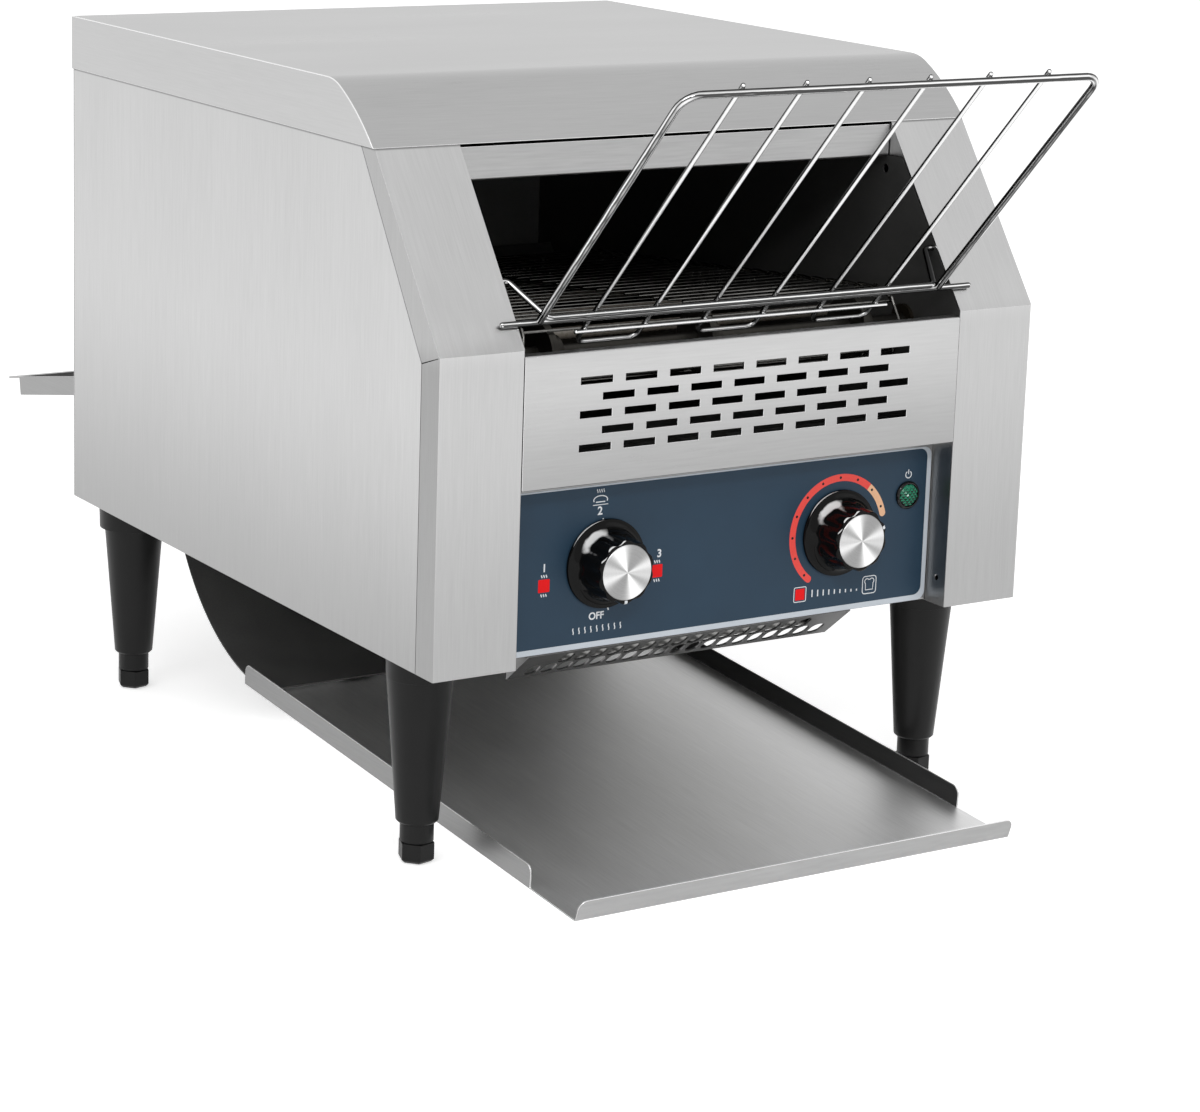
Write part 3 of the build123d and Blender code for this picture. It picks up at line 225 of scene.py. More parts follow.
def makeWireTree():
    # bent wire: the line's corners are rounded, a round section runs along it, and its ends
    # are closed with a low dome
    tree, sizes = startTree("bentWire", {"Wire radius": "Float", "Bend radius": "Float",
                                         "Sides": "Int", "Material": "Material"})
    line = addNode(tree, "MeshToCurve", {"Mesh": sizes["Geometry"]})
    bent = addNode(tree, "FilletCurve", {"Curve": line, "Count": 6, "Limit Radius": True,
                                         "Radius": sizes["Bend radius"]}, mode="POLY")
    section = addNode(tree, "CurvePrimitiveCircle",
                      {"Resolution": sizes["Sides"], "Radius": sizes["Wire radius"]})
    swept = addNode(tree, "CurveToMesh",
                    {"Curve": bent, "Profile Curve": section, "Fill Caps": True})
    ends = addNode(tree, "CurveEndpointSelection", {"Start Size": 1, "End Size": 1})
    dome = addNode(tree, "MeshUVSphere",
                   {"Segments": 12, "Rings": 6, "Radius": sizes["Wire radius"]})
    domes = addNode(tree, "InstanceOnPoints",
                    {"Points": bent, "Selection": ends, "Instance": dome})
    joined = addNode(tree, "JoinGeometry")
    for part in (swept, domes):
        tree.links.new(part.outputs[0], joined.inputs[0])
    endTree(tree, joined, sizes)
    return tree


def makeRepeatTree():
    # one small piece set down at every seed point, turned as the point's own turn says
    tree, sizes = startTree("setDown", {"Piece": "Object", "Material": "Material"})
    piece = addNode(tree, "ObjectInfo", {"Object": sizes["Piece"]})
    turn = addNode(tree, "InputNamedAttribute", {"Name": "turn"}, data_type="FLOAT_VECTOR")
    cloud = addNode(tree, "MeshToPoints", {"Mesh": sizes["Geometry"]})
    placed = addNode(tree, "InstanceOnPoints",
                     {"Points": cloud, "Instance": piece.outputs["Geometry"],
                      "Rotation": turn.outputs["Attribute"]})
    endTree(tree, placed, sizes)
    return tree


wireTree = makeWireTree()
repeatTree = makeRepeatTree()


def wire(name, paths, radiusMm, bendMm, material, body, sides=14):
    sizes = {"Wire radius": mm(radiusMm), "Bend radius": mm(bendMm), "Sides": sides,
             "Material": material}
    return grown(name, linesMesh(name, paths), wireTree, sizes, body)


def repeated(name, pattern, spots, material, body="casing", sharpAt=35):
    # pattern is the mesh to repeat, spots are (place, turn in radians round x, y, z)
    model = newObject(name + "Pattern", pattern)
    mesh = bpy.data.meshes.new(name)
    mesh.from_pydata([spot for spot, turn in spots], [], [])
    turns = mesh.attributes.new("turn", "FLOAT_VECTOR", "POINT")
    for item, (spot, turn) in zip(turns.data, spots):
        item.vector = turn
    piece = grown(name, mesh, repeatTree, {"Piece": model, "Material": material}, body, sharpAt)
    bpy.data.objects.remove(model)
    return piece


# Materials

noiseSpan = (0.3, 0.7)  # nearly all of a noise's values lie between these


def freshTree(owner):
    owner.use_nodes = True
    owner.node_tree.nodes.clear()
    return owner.node_tree


def startMaterial(name):
    material = bpy.data.materials.new(name)
    tree = freshTree(material)
    return material, tree, addNode(tree, "TexCoord").outputs


def endMaterial(material, inputs):
    tree = material.node_tree
    addNode(tree, "OutputMaterial", {"Surface": addNode(tree, "BsdfPrincipled", inputs)})
    return material


def rampOf(tree, factor, stops):
    ramp = addNode(tree, "ValToRGB", {"Fac": factor})
    elements = ramp.color_ramp.elements
    for position, colour in stops[1:-1]:
        elements.new(position)
    for element, (position, colour) in zip(elements, stops):
        element.position = position
        element.color = linear(colour)
    return ramp


def tint(tree, factor, dark, light):
    return rampOf(tree, factor, tuple(zip(noiseSpan, (dark, light))))


def spread(tree, factor, low, high, start=noiseSpan[0], end=noiseSpan[1], **settings):
    return addNode(tree, "MapRange", {"Value": factor, "From Min": start, "From Max": end,
                                      "To Min": low, "To Max": high}, **settings)


def clouded(tree, coords, toward, cloudMm, share, detail=2.0):
    # how squarely the surface faces toward, with a faint cloud added; returns both
    facing = addNode(tree, "VectorMath", {0: coords["Normal"], 1: toward}, operation="DOT_PRODUCT")
    cloud = addNode(tree, "TexNoise",
                    {"Vector": coords["Object"], "Scale": 1000 / cloudMm, "Detail": detail})
    moved = addNode(tree, "Math", {0: cloud, 1: share, 2: facing.outputs["Value"]},
                    operation="MULTIPLY_ADD")
    return cloud, moved


grainWays = {  # across and along the grain on front and top faces, and the same on side faces
    "upright": ((1, 0, 0), (0, 0.4, 1), (0, 1, 0), (0, 0, 1)),
    "crosswise": ((0, 1, 0.6), (1, 0, 0), (0, 0, 1), (0, 1, 0)),
    "lengthwise": ((1, 0, 0), (0, 1, 0), (0, 0, 1), (0, 1, 0)),
}
# a brushed pattern's mm across and along the grain, and its detail: hair lines, streaks, cloud
grainSizes = ((0.8, 26, 3), (3.2, 130, 3), (60, 240, 2))
sideFacing = 0.6  # a face whose normal has more of x than this is a side face


def brushedSteel(name, way, dark, light, roughness=0.3, paintedShades=()):
    # stainless sheet with a belt-ground finish: straight hair lines, and streaks a few mm wide
    # that turn the light slightly. Real lines lie 0.1 mm apart; they are drawn 0.8 mm apart.
    # Each painted shade is an axis, the mm along it where the colour is darkened for a darker
    # thing that the metal mirrors, the mm where it is clear of it, and the share of the tone left
    # there
    material, tree, coords = startMaterial(name)
    facing = addNode(tree, "SeparateXYZ", {"Vector": coords["Normal"]})
    turned = addNode(tree, "Math", {0: facing.outputs["X"]}, operation="ABSOLUTE")
    onSide = addNode(tree, "Math", {0: turned, 1: sideFacing}, operation="GREATER_THAN")
    reach = [addNode(tree, "VectorMath", {0: coords["Object"], 1: axis},
                     operation="DOT_PRODUCT").outputs["Value"] for axis in grainWays[way]]
    picked = [addNode(tree, "Mix", {0: onSide, 2: reach[i], 3: reach[i + 2]}) for i in (0, 1)]
    patterns = []
    for acrossMm, alongMm, detail in grainSizes:
        across, along = (addNode(tree, "Math", {0: part, 1: 1000 / size}, operation="MULTIPLY")
                         for part, size in zip(picked, (acrossMm, alongMm)))
        joined = addNode(tree, "CombineXYZ", {"X": across, "Y": along})
        patterns.append(addNode(tree, "TexNoise",
                                {"Vector": joined, "Scale": 1.0, "Detail": detail}))
    hair, streak, cloud = patterns
    lines = addNode(tree, "Math", {0: streak, 1: 0.35, 2: hair}, operation="MULTIPLY_ADD")
    mixed = addNode(tree, "Math", {0: cloud, 1: 0.65, 2: lines}, operation="MULTIPLY_ADD")
    blend = addNode(tree, "Math", {0: mixed, 1: 0.5}, operation="MULTIPLY")
    sheen = addNode(tree, "Math", {0: hair, 1: cloud}, operation="ADD")
    half = addNode(tree, "Math", {0: sheen, 1: 0.5}, operation="MULTIPLY")
    bump = addNode(tree, "Bump", {"Strength": 0.22, "Distance": mm(0.04), "Height": hair})
    colour = tint(tree, blend, dark, light)
    # painted shade: the colour is scaled down towards the share along the axis
    for axis, full, clear, left in paintedShades:
        level = addNode(tree, "SeparateXYZ", {"Vector": coords["Object"]})
        share = spread(tree, level.outputs[axis], left, 1.0, mm(full), mm(clear),
                       interpolation_type="SMOOTHSTEP")
        colour = addNode(tree, "VectorMath", {0: colour, "Scale": share}, operation="SCALE")
    return endMaterial(material, {
        "Base Color": colour, "Metallic": 1.0, "Normal": bump,
        "Roughness": spread(tree, half, roughness - 0.04, roughness + 0.06)})


def mottled(name, dark, light, grainMm, roughness, metallic=0.0, bumpMm=0.0, gloss=0.5):
    # a moulded, painted or cast skin: colour, sheen and height follow one fine grain, and a
    # slow cloud of 34 mm moves the sheen as handling does
    material, tree, coords = startMaterial(name)
    grain, cloud = (addNode(tree, "TexNoise", {"Vector": coords["Object"], "Scale": 1000 / size,
                                               "Detail": detail})
                    for size, detail in ((grainMm, 3.0), (34, 2.0)))
    both = addNode(tree, "Math", {0: grain, 1: cloud}, operation="ADD")
    half = addNode(tree, "Math", {0: both, 1: 0.5}, operation="MULTIPLY")
    inputs = {"Base Color": tint(tree, half, dark, light), "Metallic": metallic,
              "Roughness": spread(tree, half, max(roughness - 0.05, 0.03), roughness + 0.05)}
    if not metallic:
        inputs["Specular IOR Level"] = gloss
    if bumpMm:
        inputs["Normal"] = addNode(tree, "Bump", {"Strength": 0.5, "Distance": mm(bumpMm),
                                                  "Height": grain})
    return endMaterial(material, inputs)


# the lathe rings' spacing and share, the base tone, and the painted highlight fan shapes
capFace = {"ringMm": 0.3, "ringShare": 0.12, "base": 0.3,
           "paintedFans": ((2.0, 16.0, 0.5), (0.25, 26.0, 0.26), (2.9, 40.0, 0.16))}


def spunAluminium(name, centre):
    # a turned cap face: the lathe leaves rings 0.3 mm apart, and painted highlights in bright fan
    # shapes stand in for the light on spun metal, each with its turn in radians, its sharpness
    # and its share of the painted light
    material, tree, coords = startMaterial(name)
    moved = addNode(tree, "Mapping", {"Vector": coords["Object"], "Location": -centre})
    parts = addNode(tree, "SeparateXYZ", {"Vector": moved}).outputs
    flat = addNode(tree, "CombineXYZ", {"X": parts["X"], "Y": parts["Z"]})
    reach = addNode(tree, "VectorMath", {0: flat}, operation="LENGTH")
    rings = addNode(tree, "Math", {0: reach.outputs["Value"], 1: 1000 / capFace["ringMm"]},
                    operation="MULTIPLY")
    line = addNode(tree, "TexNoise", {"W": rings, "Scale": 1.0, "Detail": 2.0},
                   noise_dimensions="1D")
    angle = addNode(tree, "Math", {0: parts["Z"], 1: parts["X"]}, operation="ARCTAN2")
    tone = addNode(tree, "Math", {0: line, 1: capFace["ringShare"], 2: capFace["base"]},
                   operation="MULTIPLY_ADD")
    for turn, sharp, share in capFace["paintedFans"]:
        away = addNode(tree, "Math", {0: angle, 1: turn}, operation="SUBTRACT")
        swing = addNode(tree, "Math", {0: away}, operation="COSINE")
        size = addNode(tree, "Math", {0: swing}, operation="ABSOLUTE")
        fan = addNode(tree, "Math", {0: size, 1: sharp}, operation="POWER")
        tone = addNode(tree, "Math", {0: fan, 1: share, 2: tone}, operation="MULTIPLY_ADD")
    bump = addNode(tree, "Bump", {"Strength": 0.35, "Distance": mm(0.05), "Height": line})
    return endMaterial(material, {
        "Base Color": tint(tree, tone, "#767676", "#E6E6E6"), "Metallic": 1.0,
        "Roughness": spread(tree, line, 0.24, 0.34), "Normal": bump})


def facingPaintedMetal(name, toward, stops, roughness):
    # polished metal with a painted reflection: its colour follows the way that it faces, for a
    # room with a bright ceiling, a dark horizon and a lit floor; a faint cloud keeps it from
    # looking drawn
    material, tree, coords = startMaterial(name)
    cloud, moved = clouded(tree, coords, toward, 9, 0.1)
    share = spread(tree, moved, 0.0, 1.0, -0.95, 1.05)
    return endMaterial(material, {
        "Base Color": rampOf(tree, share, stops), "Metallic": 1.0,
        "Roughness": spread(tree, cloud, roughness - 0.03, roughness + 0.03)})


def glossBlackPaintedHighlight(name, toward):
    # polished black phenolic: nearly black, with a painted highlight, the broad soft reflection of
    # an overhead softbox painted in where the surface faces it
    material, tree, coords = startMaterial(name)
    cloud, moved = clouded(tree, coords, toward, 4, 0.06)
    # painted highlight where the surface faces the softbox
    light = spread(tree, moved, *noiseSpan, 0.935, 1.0, interpolation_type="SMOOTHSTEP")
    return endMaterial(material, {
        "Base Color": tint(tree, light, "#060606", "#E4E4E4"), "Specular IOR Level": 0.12,
        "Roughness": spread(tree, cloud, 0.06, 0.12)})


def clearGreen(name):
    # moulded acrylic jewel: deep green, with a painted highlight where its facets face up
    material, tree, coords = startMaterial(name)
    # painted highlight: the tone rises where a facet faces up
    grain, glow = clouded(tree, coords, (-0.2, 0, 0.98), 1.1, 1.0, 1.0)
    return endMaterial(material, {
        "Base Color": tint(tree, glow, "#01120C", "#1F7F5F"), "IOR": 1.49,
        "Roughness": spread(tree, grain, 0.12, 0.2), "Specular IOR Level": 0.3})


# The hood, skirt, panel, pillar, strip, vent, header and tray steels are lit and shaded copies of
# one stainless steel: their different tones are painted light and shade for how each part faces
hoodSteel = brushedSteel("brushedHoodSteel", "crosswise", "#A9A9A9", "#B5B5B5", 0.3)
skirtSteel = brushedSteel("brushedSkirtSteel", "lengthwise", "#B5B5B5", "#C1C1C1", 0.33)
# painted shadow: a dark line on the panels, pillars and strips just under the hood's edge
hoodEdgeShadow = ("Z", 367.8, 366.8, 0.45)  # the dark line along the hood's edge
# painted shade: the panels, pillars, strips and vent darker towards the bottom, for the darker
# surroundings that their lower parts reflect
panelSteel = brushedSteel("brushedPanelSteel", "upright", "#B7B7B7", "#C6C6C6", 0.33,
                          (("Z", 85, 265, 0.62), hoodEdgeShadow))
pillarSteel = brushedSteel("brushedPillarSteel", "upright", "#B8B8B8", "#C5C5C5", 0.32,
                           (("Z", 120, 262, 0.77), ("Z", 266, 282, 0.9), hoodEdgeShadow))
stripSteel = brushedSteel("brushedStripSteel", "upright", "#A0A0A0", "#AFAFAF", 0.32,
                          (("Z", 266, 282, 0.77), hoodEdgeShadow))
ventSteel = brushedSteel("brushedVentSteel", "crosswise", "#B5B5B5", "#C1C1C1", 0.3,
                         (("Z", 200, 268, 0.68),))
plateSteel = brushedSteel("brushedPlateSteel", "upright", "#8C8C8C", "#9C9C9C", 0.32)
# painted shade: the feed header's steel darker, for the hood's shade over it
shadedSteel = brushedSteel("brushedInnerSteel", "crosswise", "#9D9D9D", "#B1B1B1", 0.34)
grilleSteel = brushedSteel("brushedGrilleSteel", "crosswise", "#626262", "#7E7E7E", 0.34)
# painted light and shade on the output tray: its floor much lighter than its walls, its lip
# another lit copy, and its walls darker towards the right, for the dark side the right wall
# mirrors
trayFloorSteel = brushedSteel("brushedTrayFloor", "lengthwise", "#E2E2E2", "#F4F4F4", 0.46)
traySteel = brushedSteel("brushedTraySteel", "lengthwise", "#848484", "#949494", 0.34,
                         (("X", 125, 60, 0.33),))
trayLipSteel = brushedSteel("brushedTrayLip", "crosswise", "#969696", "#A8A8A8", 0.34)
crumbSteel = brushedSteel("brushedCrumbSteel", "crosswise", "#888888", "#989898", 0.33)
dullSteel = brushedSteel("aluminisedSheet", "lengthwise", "#8A8A88", "#A0A09E", 0.42)
sootySteel = brushedSteel("heatStainedSheet", "lengthwise", "#2E2D2B", "#45433F", 0.45)
# painted highlight on sheet edges that face up, painted shade on edges that face down
paintedEdgeLight = facingPaintedMetal("rolledSheetEdge", (0, 0, 1), ((0.0, "#585858"), (0.34, "#8E8E8E"),
                                                    (0.48, "#ECECEC"), (1.0, "#FAFAFA")), 0.25)
# painted shadow: the side panels' edges dark, for the shade in the seams between the sheets
seamShadowSteel = mottled("shadedSheetEdge", "#303030", "#3E3E3E", 1.0, 0.4, metallic=1.0)
ovenEnamel = mottled("blackOvenEnamel", "#2D2D2D", "#3A3A39", 0.9, 0.34, bumpMm=0.05)
# painted light: the oven's black enamel made lighter on the back wall, for the light that reaches
# it
litBackEnamel = mottled("heatDulledEnamel", "#666665", "#767674", 0.9, 0.42, bumpMm=0.05)
# painted sheen: the chute's black enamel lighter than the oven's, for the soft highlight on it
chuteEnamel = mottled("blackChuteEnamel", "#464646", "#585857", 0.8, 0.36, bumpMm=0.04)
# painted reflections on the rack's chrome wires: bright and dark bands by the way each side faces,
# the brightest towards a light at the front left
brightWire = facingPaintedMetal("chromePlatedWire", (-0.457, -0.88, -0.118), (
    (0.0, "#B4B4B4"), (0.4, "#8A8A8A"), (0.58, "#262626"), (0.76, "#3C3C3C"), (0.87, "#D2D2D2"),
    (1.0, "#F4F4F4")), 0.12)
frameWire = facingPaintedMetal("chromePlatedFrame", (-0.457, -0.84, -0.29), (
    (0.0, "#B4B4B4"), (0.4, "#8A8A8A"), (0.56, "#202020"), (0.7, "#2C2C2C"), (0.78, "#C8C8C8"),
    (0.86, "#E6E6E6"), (0.915, "#3A3A3A"), (0.95, "#4A4A4A"), (1.0, "#D8D8D8")), 0.1)
beltWire = mottled("heatTintedBeltWire", "#585755", "#8B8A87", 3.0, 0.24, metallic=1.0)
turnedSteel = mottled("turnedShaftSteel", "#6A6762", "#83807A", 2.0, 0.3, metallic=1.0)
screwSteel = mottled("platedScrewSteel", "#B3B2AE", "#CCCBC8", 1.5, 0.22, metallic=1.0)
# the shaft bushes in a dark brown-grey metal
bushSteel = mottled("oiledBushMetal", "#34302A", "#453F35", 0.6, 0.5, metallic=1.0, bumpMm=0.02)
castMetal = mottled("castGearbox", "#8C8C8B", "#A6A6A5", 0.7, 0.5, metallic=1.0, bumpMm=0.05)
legPlastic = mottled("satinLegPlastic", "#0E0E0E", "#171717", 0.5, 0.4, bumpMm=0.02, gloss=0.2)
knobPlastic = glossBlackPaintedHighlight("glossKnobPhenolic", (-0.48, -0.52, 0.706))
bezelPlastic = mottled("glossBezelPlastic", "#070707", "#0C0C0C", 2.5, 0.12, gloss=0.3)
innerPlastic = mottled("blackSwitchPlastic", "#161616", "#222221", 0.6, 0.45, bumpMm=0.02)
filmBlue = mottled("slatePrintedFilm", "#1E3446", "#253D50", 0.35, 0.42, bumpMm=0.01, gloss=0.25)
filmSilver = mottled("silverFilmBorder", "#BCC3CB", "#CED5DC", 0.35, 0.4, gloss=0.3)
inkWhite = mottled("whiteScreenInk", "#D6DADE", "#E8EBED", 0.5, 0.45, gloss=0.3)
inkRed = mottled("redScreenInk", "#E00509", "#F00C12", 0.5, 0.42, gloss=0.2)
inkCoral = mottled("coralScreenInk", "#EA4C46", "#F65A52", 0.5, 0.42, gloss=0.2)
inkCream = mottled("creamScreenInk", "#EBB48C", "#F6C8A2", 0.5, 0.42, gloss=0.2)
inkDark = mottled("darkScreenInk", "#15181C", "#1E2126", 0.5, 0.45, gloss=0.2)
quartz = mottled("milkyQuartz", "#7E7870", "#938C82", 2.5, 0.28)
ceramic = mottled("glazedCeramic", "#C8C2B6", "#DAD5CA", 1.8, 0.3, bumpMm=0.02)
laminate = mottled("boardLaminate", "#1D4A2E", "#286039", 1.2, 0.45)
greenJewel = clearGreen("greenAcrylicJewel")
print("materials made:", len(bpy.data.materials))


# Folded sheet and other solids whose shape is already right: softened edges, smooth bends

squarely = 0.7  # a face looks along an axis when its normal has more of it than this


def dressed(node, material, edgeMm=0.25, sharpAt=24, others=None, edge=None):
    # others gives the faces that look along an axis their own material, a copy in another painted
    # tone for the light on that side; edge gives the edges theirs, a painted highlight or shade
    others = others or {}
    solid = frame["nodes"][node]
    shape = bmesh.new()
    shape.from_mesh(solid.data)
    bmesh.ops.remove_doubles(shape, verts=shape.verts, dist=1e-6)
    bmesh.ops.dissolve_limit(shape, angle_limit=radians(0.3), verts=shape.verts, edges=shape.edges)
    for face in shape.faces:
        for index, axis in enumerate(others):
            if abs(face.normal[axis]) > squarely:
                face.material_index = index + 2
    mesh = bpy.data.meshes.new(node + "Dressed")
    shape.to_mesh(mesh)
    shape.free()
    piece = pieceFromMesh(node + "Dressed", smoothed(mesh, sharpAt),
                          [material, edge or material, *others.values()], solid["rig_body"])
    if edgeMm:
        setAll(piece.modifiers.new("edges", "BEVEL"), width=mm(edgeMm), segments=2,
               limit_method="ANGLE", angle_limit=radians(sharpAt), harden_normals=True, material=1)
    piece.data = settled(piece)
    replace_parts(piece, node)
    return piece


# the other materials are lit and shaded copies of the same steel, painted light and shade on faces
# turned another way; the edges get a painted highlight, and the side panels' a painted seam shadow
sheets = {  # material, edge width, and other materials by the axis that their faces look along
    "hood": (hoodSteel, 0.42, {0: skirtSteel}),
    "side_panel_left": (panelSteel, 0.42, {}), "side_panel_right": (panelSteel, 0.42, {}),
    "pillar_left": (pillarSteel, 0.42, {0: stripSteel}),
    "pillar_right": (pillarSteel, 0.42, {0: stripSteel}), "feed_header": (shadedSteel, 0.2, {}),
    "vent_panel": (ventSteel, 0.15, {}), "control_panel": (plateSteel, 0.2, {}),
    "air_grille": (grilleSteel, 0.12, {}), "crumb_tray": (crumbSteel, 0.2, {}),
    "output_tray": (traySteel, 0.2, {2: trayFloorSteel, 1: trayLipSteel}),
    "rear_panel": (ventSteel, 0.15, {}),
}
for node, (material, width, others) in sheets.items():
    dressed(node, material, width, 24, others,
            seamShadowSteel if node.startswith("side_panel") else paintedEdgeLight)
dressed("toast_chute", chuteEnamel, 0.2)
dressed("legs", legPlastic, 0.5, 30)
for corner in ("front_left", "front_right", "rear_left", "rear_right"):
    dressed("foot_" + corner, legPlastic, 0.35, 30)
dressed("cable_gland", innerPlastic, 0.25, 30)
dressed("lamp_bezel", bezelPlastic, 0.15, 30)
for node in ("heat_knob_cap", "speed_knob_cap"):
    low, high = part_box(node)
    dressed(node, spunAluminium(node + "SpunFace", (low + high) / 2), 0.12, 30)
print("sheet pieces dressed:", len(sheets))

plain = {
    dullSteel: ("base_plate", "crumb_runners"),
    sootySteel: ("top_reflector", "lower_reflector", "front_shaft", "front_sprockets",
                 "rear_sprockets"),
    ovenEnamel: ("chamber_floor", "inner_wall_left", "inner_wall_right"),
    litBackEnamel: ("oven_back",),
    turnedSteel: ("rear_shaft", "driven_chain_wheel", "motor_chain_wheel", "motor_shaft",
                  "heat_spindle", "speed_spindle"),
    bushSteel: ("shaft_bushes",), beltWire: ("drive_chain",), castMetal: ("gear_motor",),
    innerPlastic: ("rotary_switch", "potentiometer", "fan_frame", "fan_rotor", "terminal_block"),
    quartz: ("upper_heaters", "lower_heaters"), ceramic: ("heater_collars",),
    laminate: ("speed_board",), screwSteel: ("leg_bolts",), filmSilver: ("control_overlay",),
}
for material, nodes in plain.items():
    for node in nodes:
        slots = frame["nodes"][node].data.materials
        slots.clear()
        slots.append(material)
print("plain nodes finished in", len(plain), "materials")


# Feed rack: bright wires on a round frame, on a cross rod that rests against the pillars

rack = {"lean": 133.5, "length": 173.4, "crossZ": 287.4, "kinkZ": 275.0, "browY": 68.0,
        "browZ": 368.0, "frameR": 2.0, "crossR": 1.6, "wireR": 1.25, "halfWidth": 124.0,
        "crossHalf": 146.5, "hookHalf": 120.0, "hookY": 27.0, "hookZ": 305.0, "hookEnd": 139.5,
        "hookBack": 130.5, "wires": 6, "pitch": 36.4, "tip": 3.0, "tail": 24.0, "gap": 0.3,
        "weld": 0.3, "beadR": 1.5, "shortRod": 98.0, "shortAlong": -12, "frameBend": 10.0,
        "crossBend": 4.0, "wireBend": 5.0}


def rackPoint(x, along, off):
    # x, the way up the rack's plane from the cross rod, and the way behind it
    slant = atan2(rack["browZ"] - rack["kinkZ"], rack["browY"])
    away = rack["crossR"] + rack["gap"]
    crossY = -away / sin(slant) + (rack["crossZ"] - rack["kinkZ"]) / tan(slant)
    lean = radians(rack["lean"])
    y = crossY + cos(lean) * along + sin(lean) * off
    z = rack["crossZ"] + sin(lean) * along - cos(lean) * off
    return place(x, y, z)


def rackWireOff(along):
    rod = rack["crossR"] + (rack["frameR"] - rack["crossR"]) * along / rack["length"]
    return rod + rack["wireR"] - rack["weld"]


def makeRack():
    half, top, crossR, wireR = (rack[k] for k in ("halfWidth", "length", "crossR", "wireR"))
    foot = crossR - rack["weld"]
    frameLine = [rackPoint(x, along, 0) for x, along in
                 ((-half, foot), (-half, top), (half, top), (half, foot))]
    wire("rackFrame", [frameLine], rack["frameR"], rack["frameBend"], frameWire, "feed_rack", 24)
    end = rack["crossHalf"] - crossR
    crossLine = [rackPoint(-end, 0, 0), rackPoint(end, 0, 0)]
    low = rackPoint(0, 2 * crossR - rack["weld"], 0)
    hook = [Vector((mm(rack["hookHalf"]), low.y, low.z)),
            place(rack["hookBack"], rack["hookY"], rack["hookZ"]),
            place(rack["hookEnd"] - crossR, rack["hookY"], rack["hookZ"])]
    hookLine = [Vector((-x, y, z)) for x, y, z in reversed(hook)] + hook
    wire("rackCrossRods", [crossLine, hookLine], crossR, rack["crossBend"], frameWire,
         "feed_rack", 20)
    hairpins, welds = [], []
    high = top + rack["tip"] - wireR
    tail, short = -rack["tail"], rack["shortAlong"]
    for pair in range(rack["wires"] // 2):
        left = (2 * pair - (rack["wires"] - 1) / 2) * rack["pitch"]
        right = left + rack["pitch"]
        hairpins.append([rackPoint(x, along, rackWireOff(along)) for x, along in
                         ((left, high), (left, tail), (right, tail), (right, high))])
        for x in (left, right):
            welds += [rackPoint(x, 0, rackWireOff(0) / 2), rackPoint(x, top, rackWireOff(top) / 2),
                      rackPoint(x, short, rackWireOff(short) - wireR)]
    wire("rackHairpins", hairpins, wireR, rack["wireBend"], brightWire, "feed_rack")
    off = rackWireOff(short) - 2 * wireR + rack["weld"]
    end = rack["shortRod"] - wireR
    shortLine = [rackPoint(-end, short, off), rackPoint(end, short, off)]
    wire("rackShortRod", [shortLine], wireR, rack["wireBend"], brightWire, "feed_rack")
    bead = bmesh.new()
    bmesh.ops.create_icosphere(bead, subdivisions=2, radius=mm(rack["beadR"]))
    repeated("rackWelds", meshFromShape("bead", bead, 60),
             [(spot, (0, 0, 0)) for spot in welds], brightWire, "feed_rack", 60)
    for name in ("rackFrame", "rackCrossRods", "rackHairpins", "rackShortRod", "rackWelds"):
        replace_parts(bpy.data.objects[name], "feed_rack")


makeRack()
print("feed rack wires bent:", rack["wires"])


# Conveyor belt: every link is one wire, hooked at both ends over the rod behind it

belt = {"pitch": 14.0, "teeth": 8, "runLinks": 21, "slope": 5.0, "frontY": 48.0, "frontZ": 262.0,
        "halfWidth": 120.0, "hookIn": 3.5, "lift": 1.95, "wireR": 0.9, "bend": 1.1,
        "rise": 3.0, "past": 1.71, "curlBack": 0.4, "curlDown": 2.2}


def beltSpots():
    # the middle of every rod: round the front, back below, round the rear, forward above
    pitch = belt["pitch"]
    radius = pitch / (2 * sin(pi / belt["teeth"]))
    gap = belt["runLinks"] * pitch
    half = belt["teeth"] // 2
    run = range(1, belt["runLinks"])
    return [*arc(0, 0, radius, 90, 270, half), *((i * pitch, -radius) for i in run),
            *arc(gap, 0, radius, -90, 90, half), *((gap - i * pitch, radius) for i in run)]


def makeBelt():
    hookX = belt["halfWidth"] - belt["hookIn"]
    tip = belt["pitch"] + belt["past"]
    half = [(0, 0, 0), (belt["halfWidth"] - belt["wireR"], 0, 0),
            (hookX, -belt["pitch"] + belt["rise"], belt["lift"]), (hookX, -tip, belt["lift"]),
            (hookX, -tip - belt["curlBack"], belt["lift"] - belt["curlDown"])]
    line = [(-x, y, z) for x, y, z in reversed(half[1:])] + half
    path = [Vector(spot) / 1000 for spot in line]
    link = wire("beltLink", [path], belt["wireR"], belt["bend"], beltWire, None, 10)
    tilt = Matrix.Rotation(radians(-belt["slope"]), 4, "X")
    start = place(0, belt["frontY"], belt["frontZ"])
    places = beltSpots()
    spots = []
    for index, here in enumerate(places):
        behind = places[index - 1]
        along = atan2(here[1] - behind[1], here[0] - behind[0])
        turn = tilt @ Matrix.Rotation(along, 4, "X") @ Matrix.Rotation(pi, 4, "Y")
        where = start + tilt @ Vector((0, mm(here[0]), mm(here[1])))
        spots.append((where, turn.to_euler()))
    mesh = link.data
    bpy.data.objects.remove(link)
    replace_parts(repeated("beltLinks", mesh, spots, beltWire, "casing", 50), "conveyor_belt")
    return len(spots)


print("belt links hooked:", makeBelt())


# Screws with a cross recess

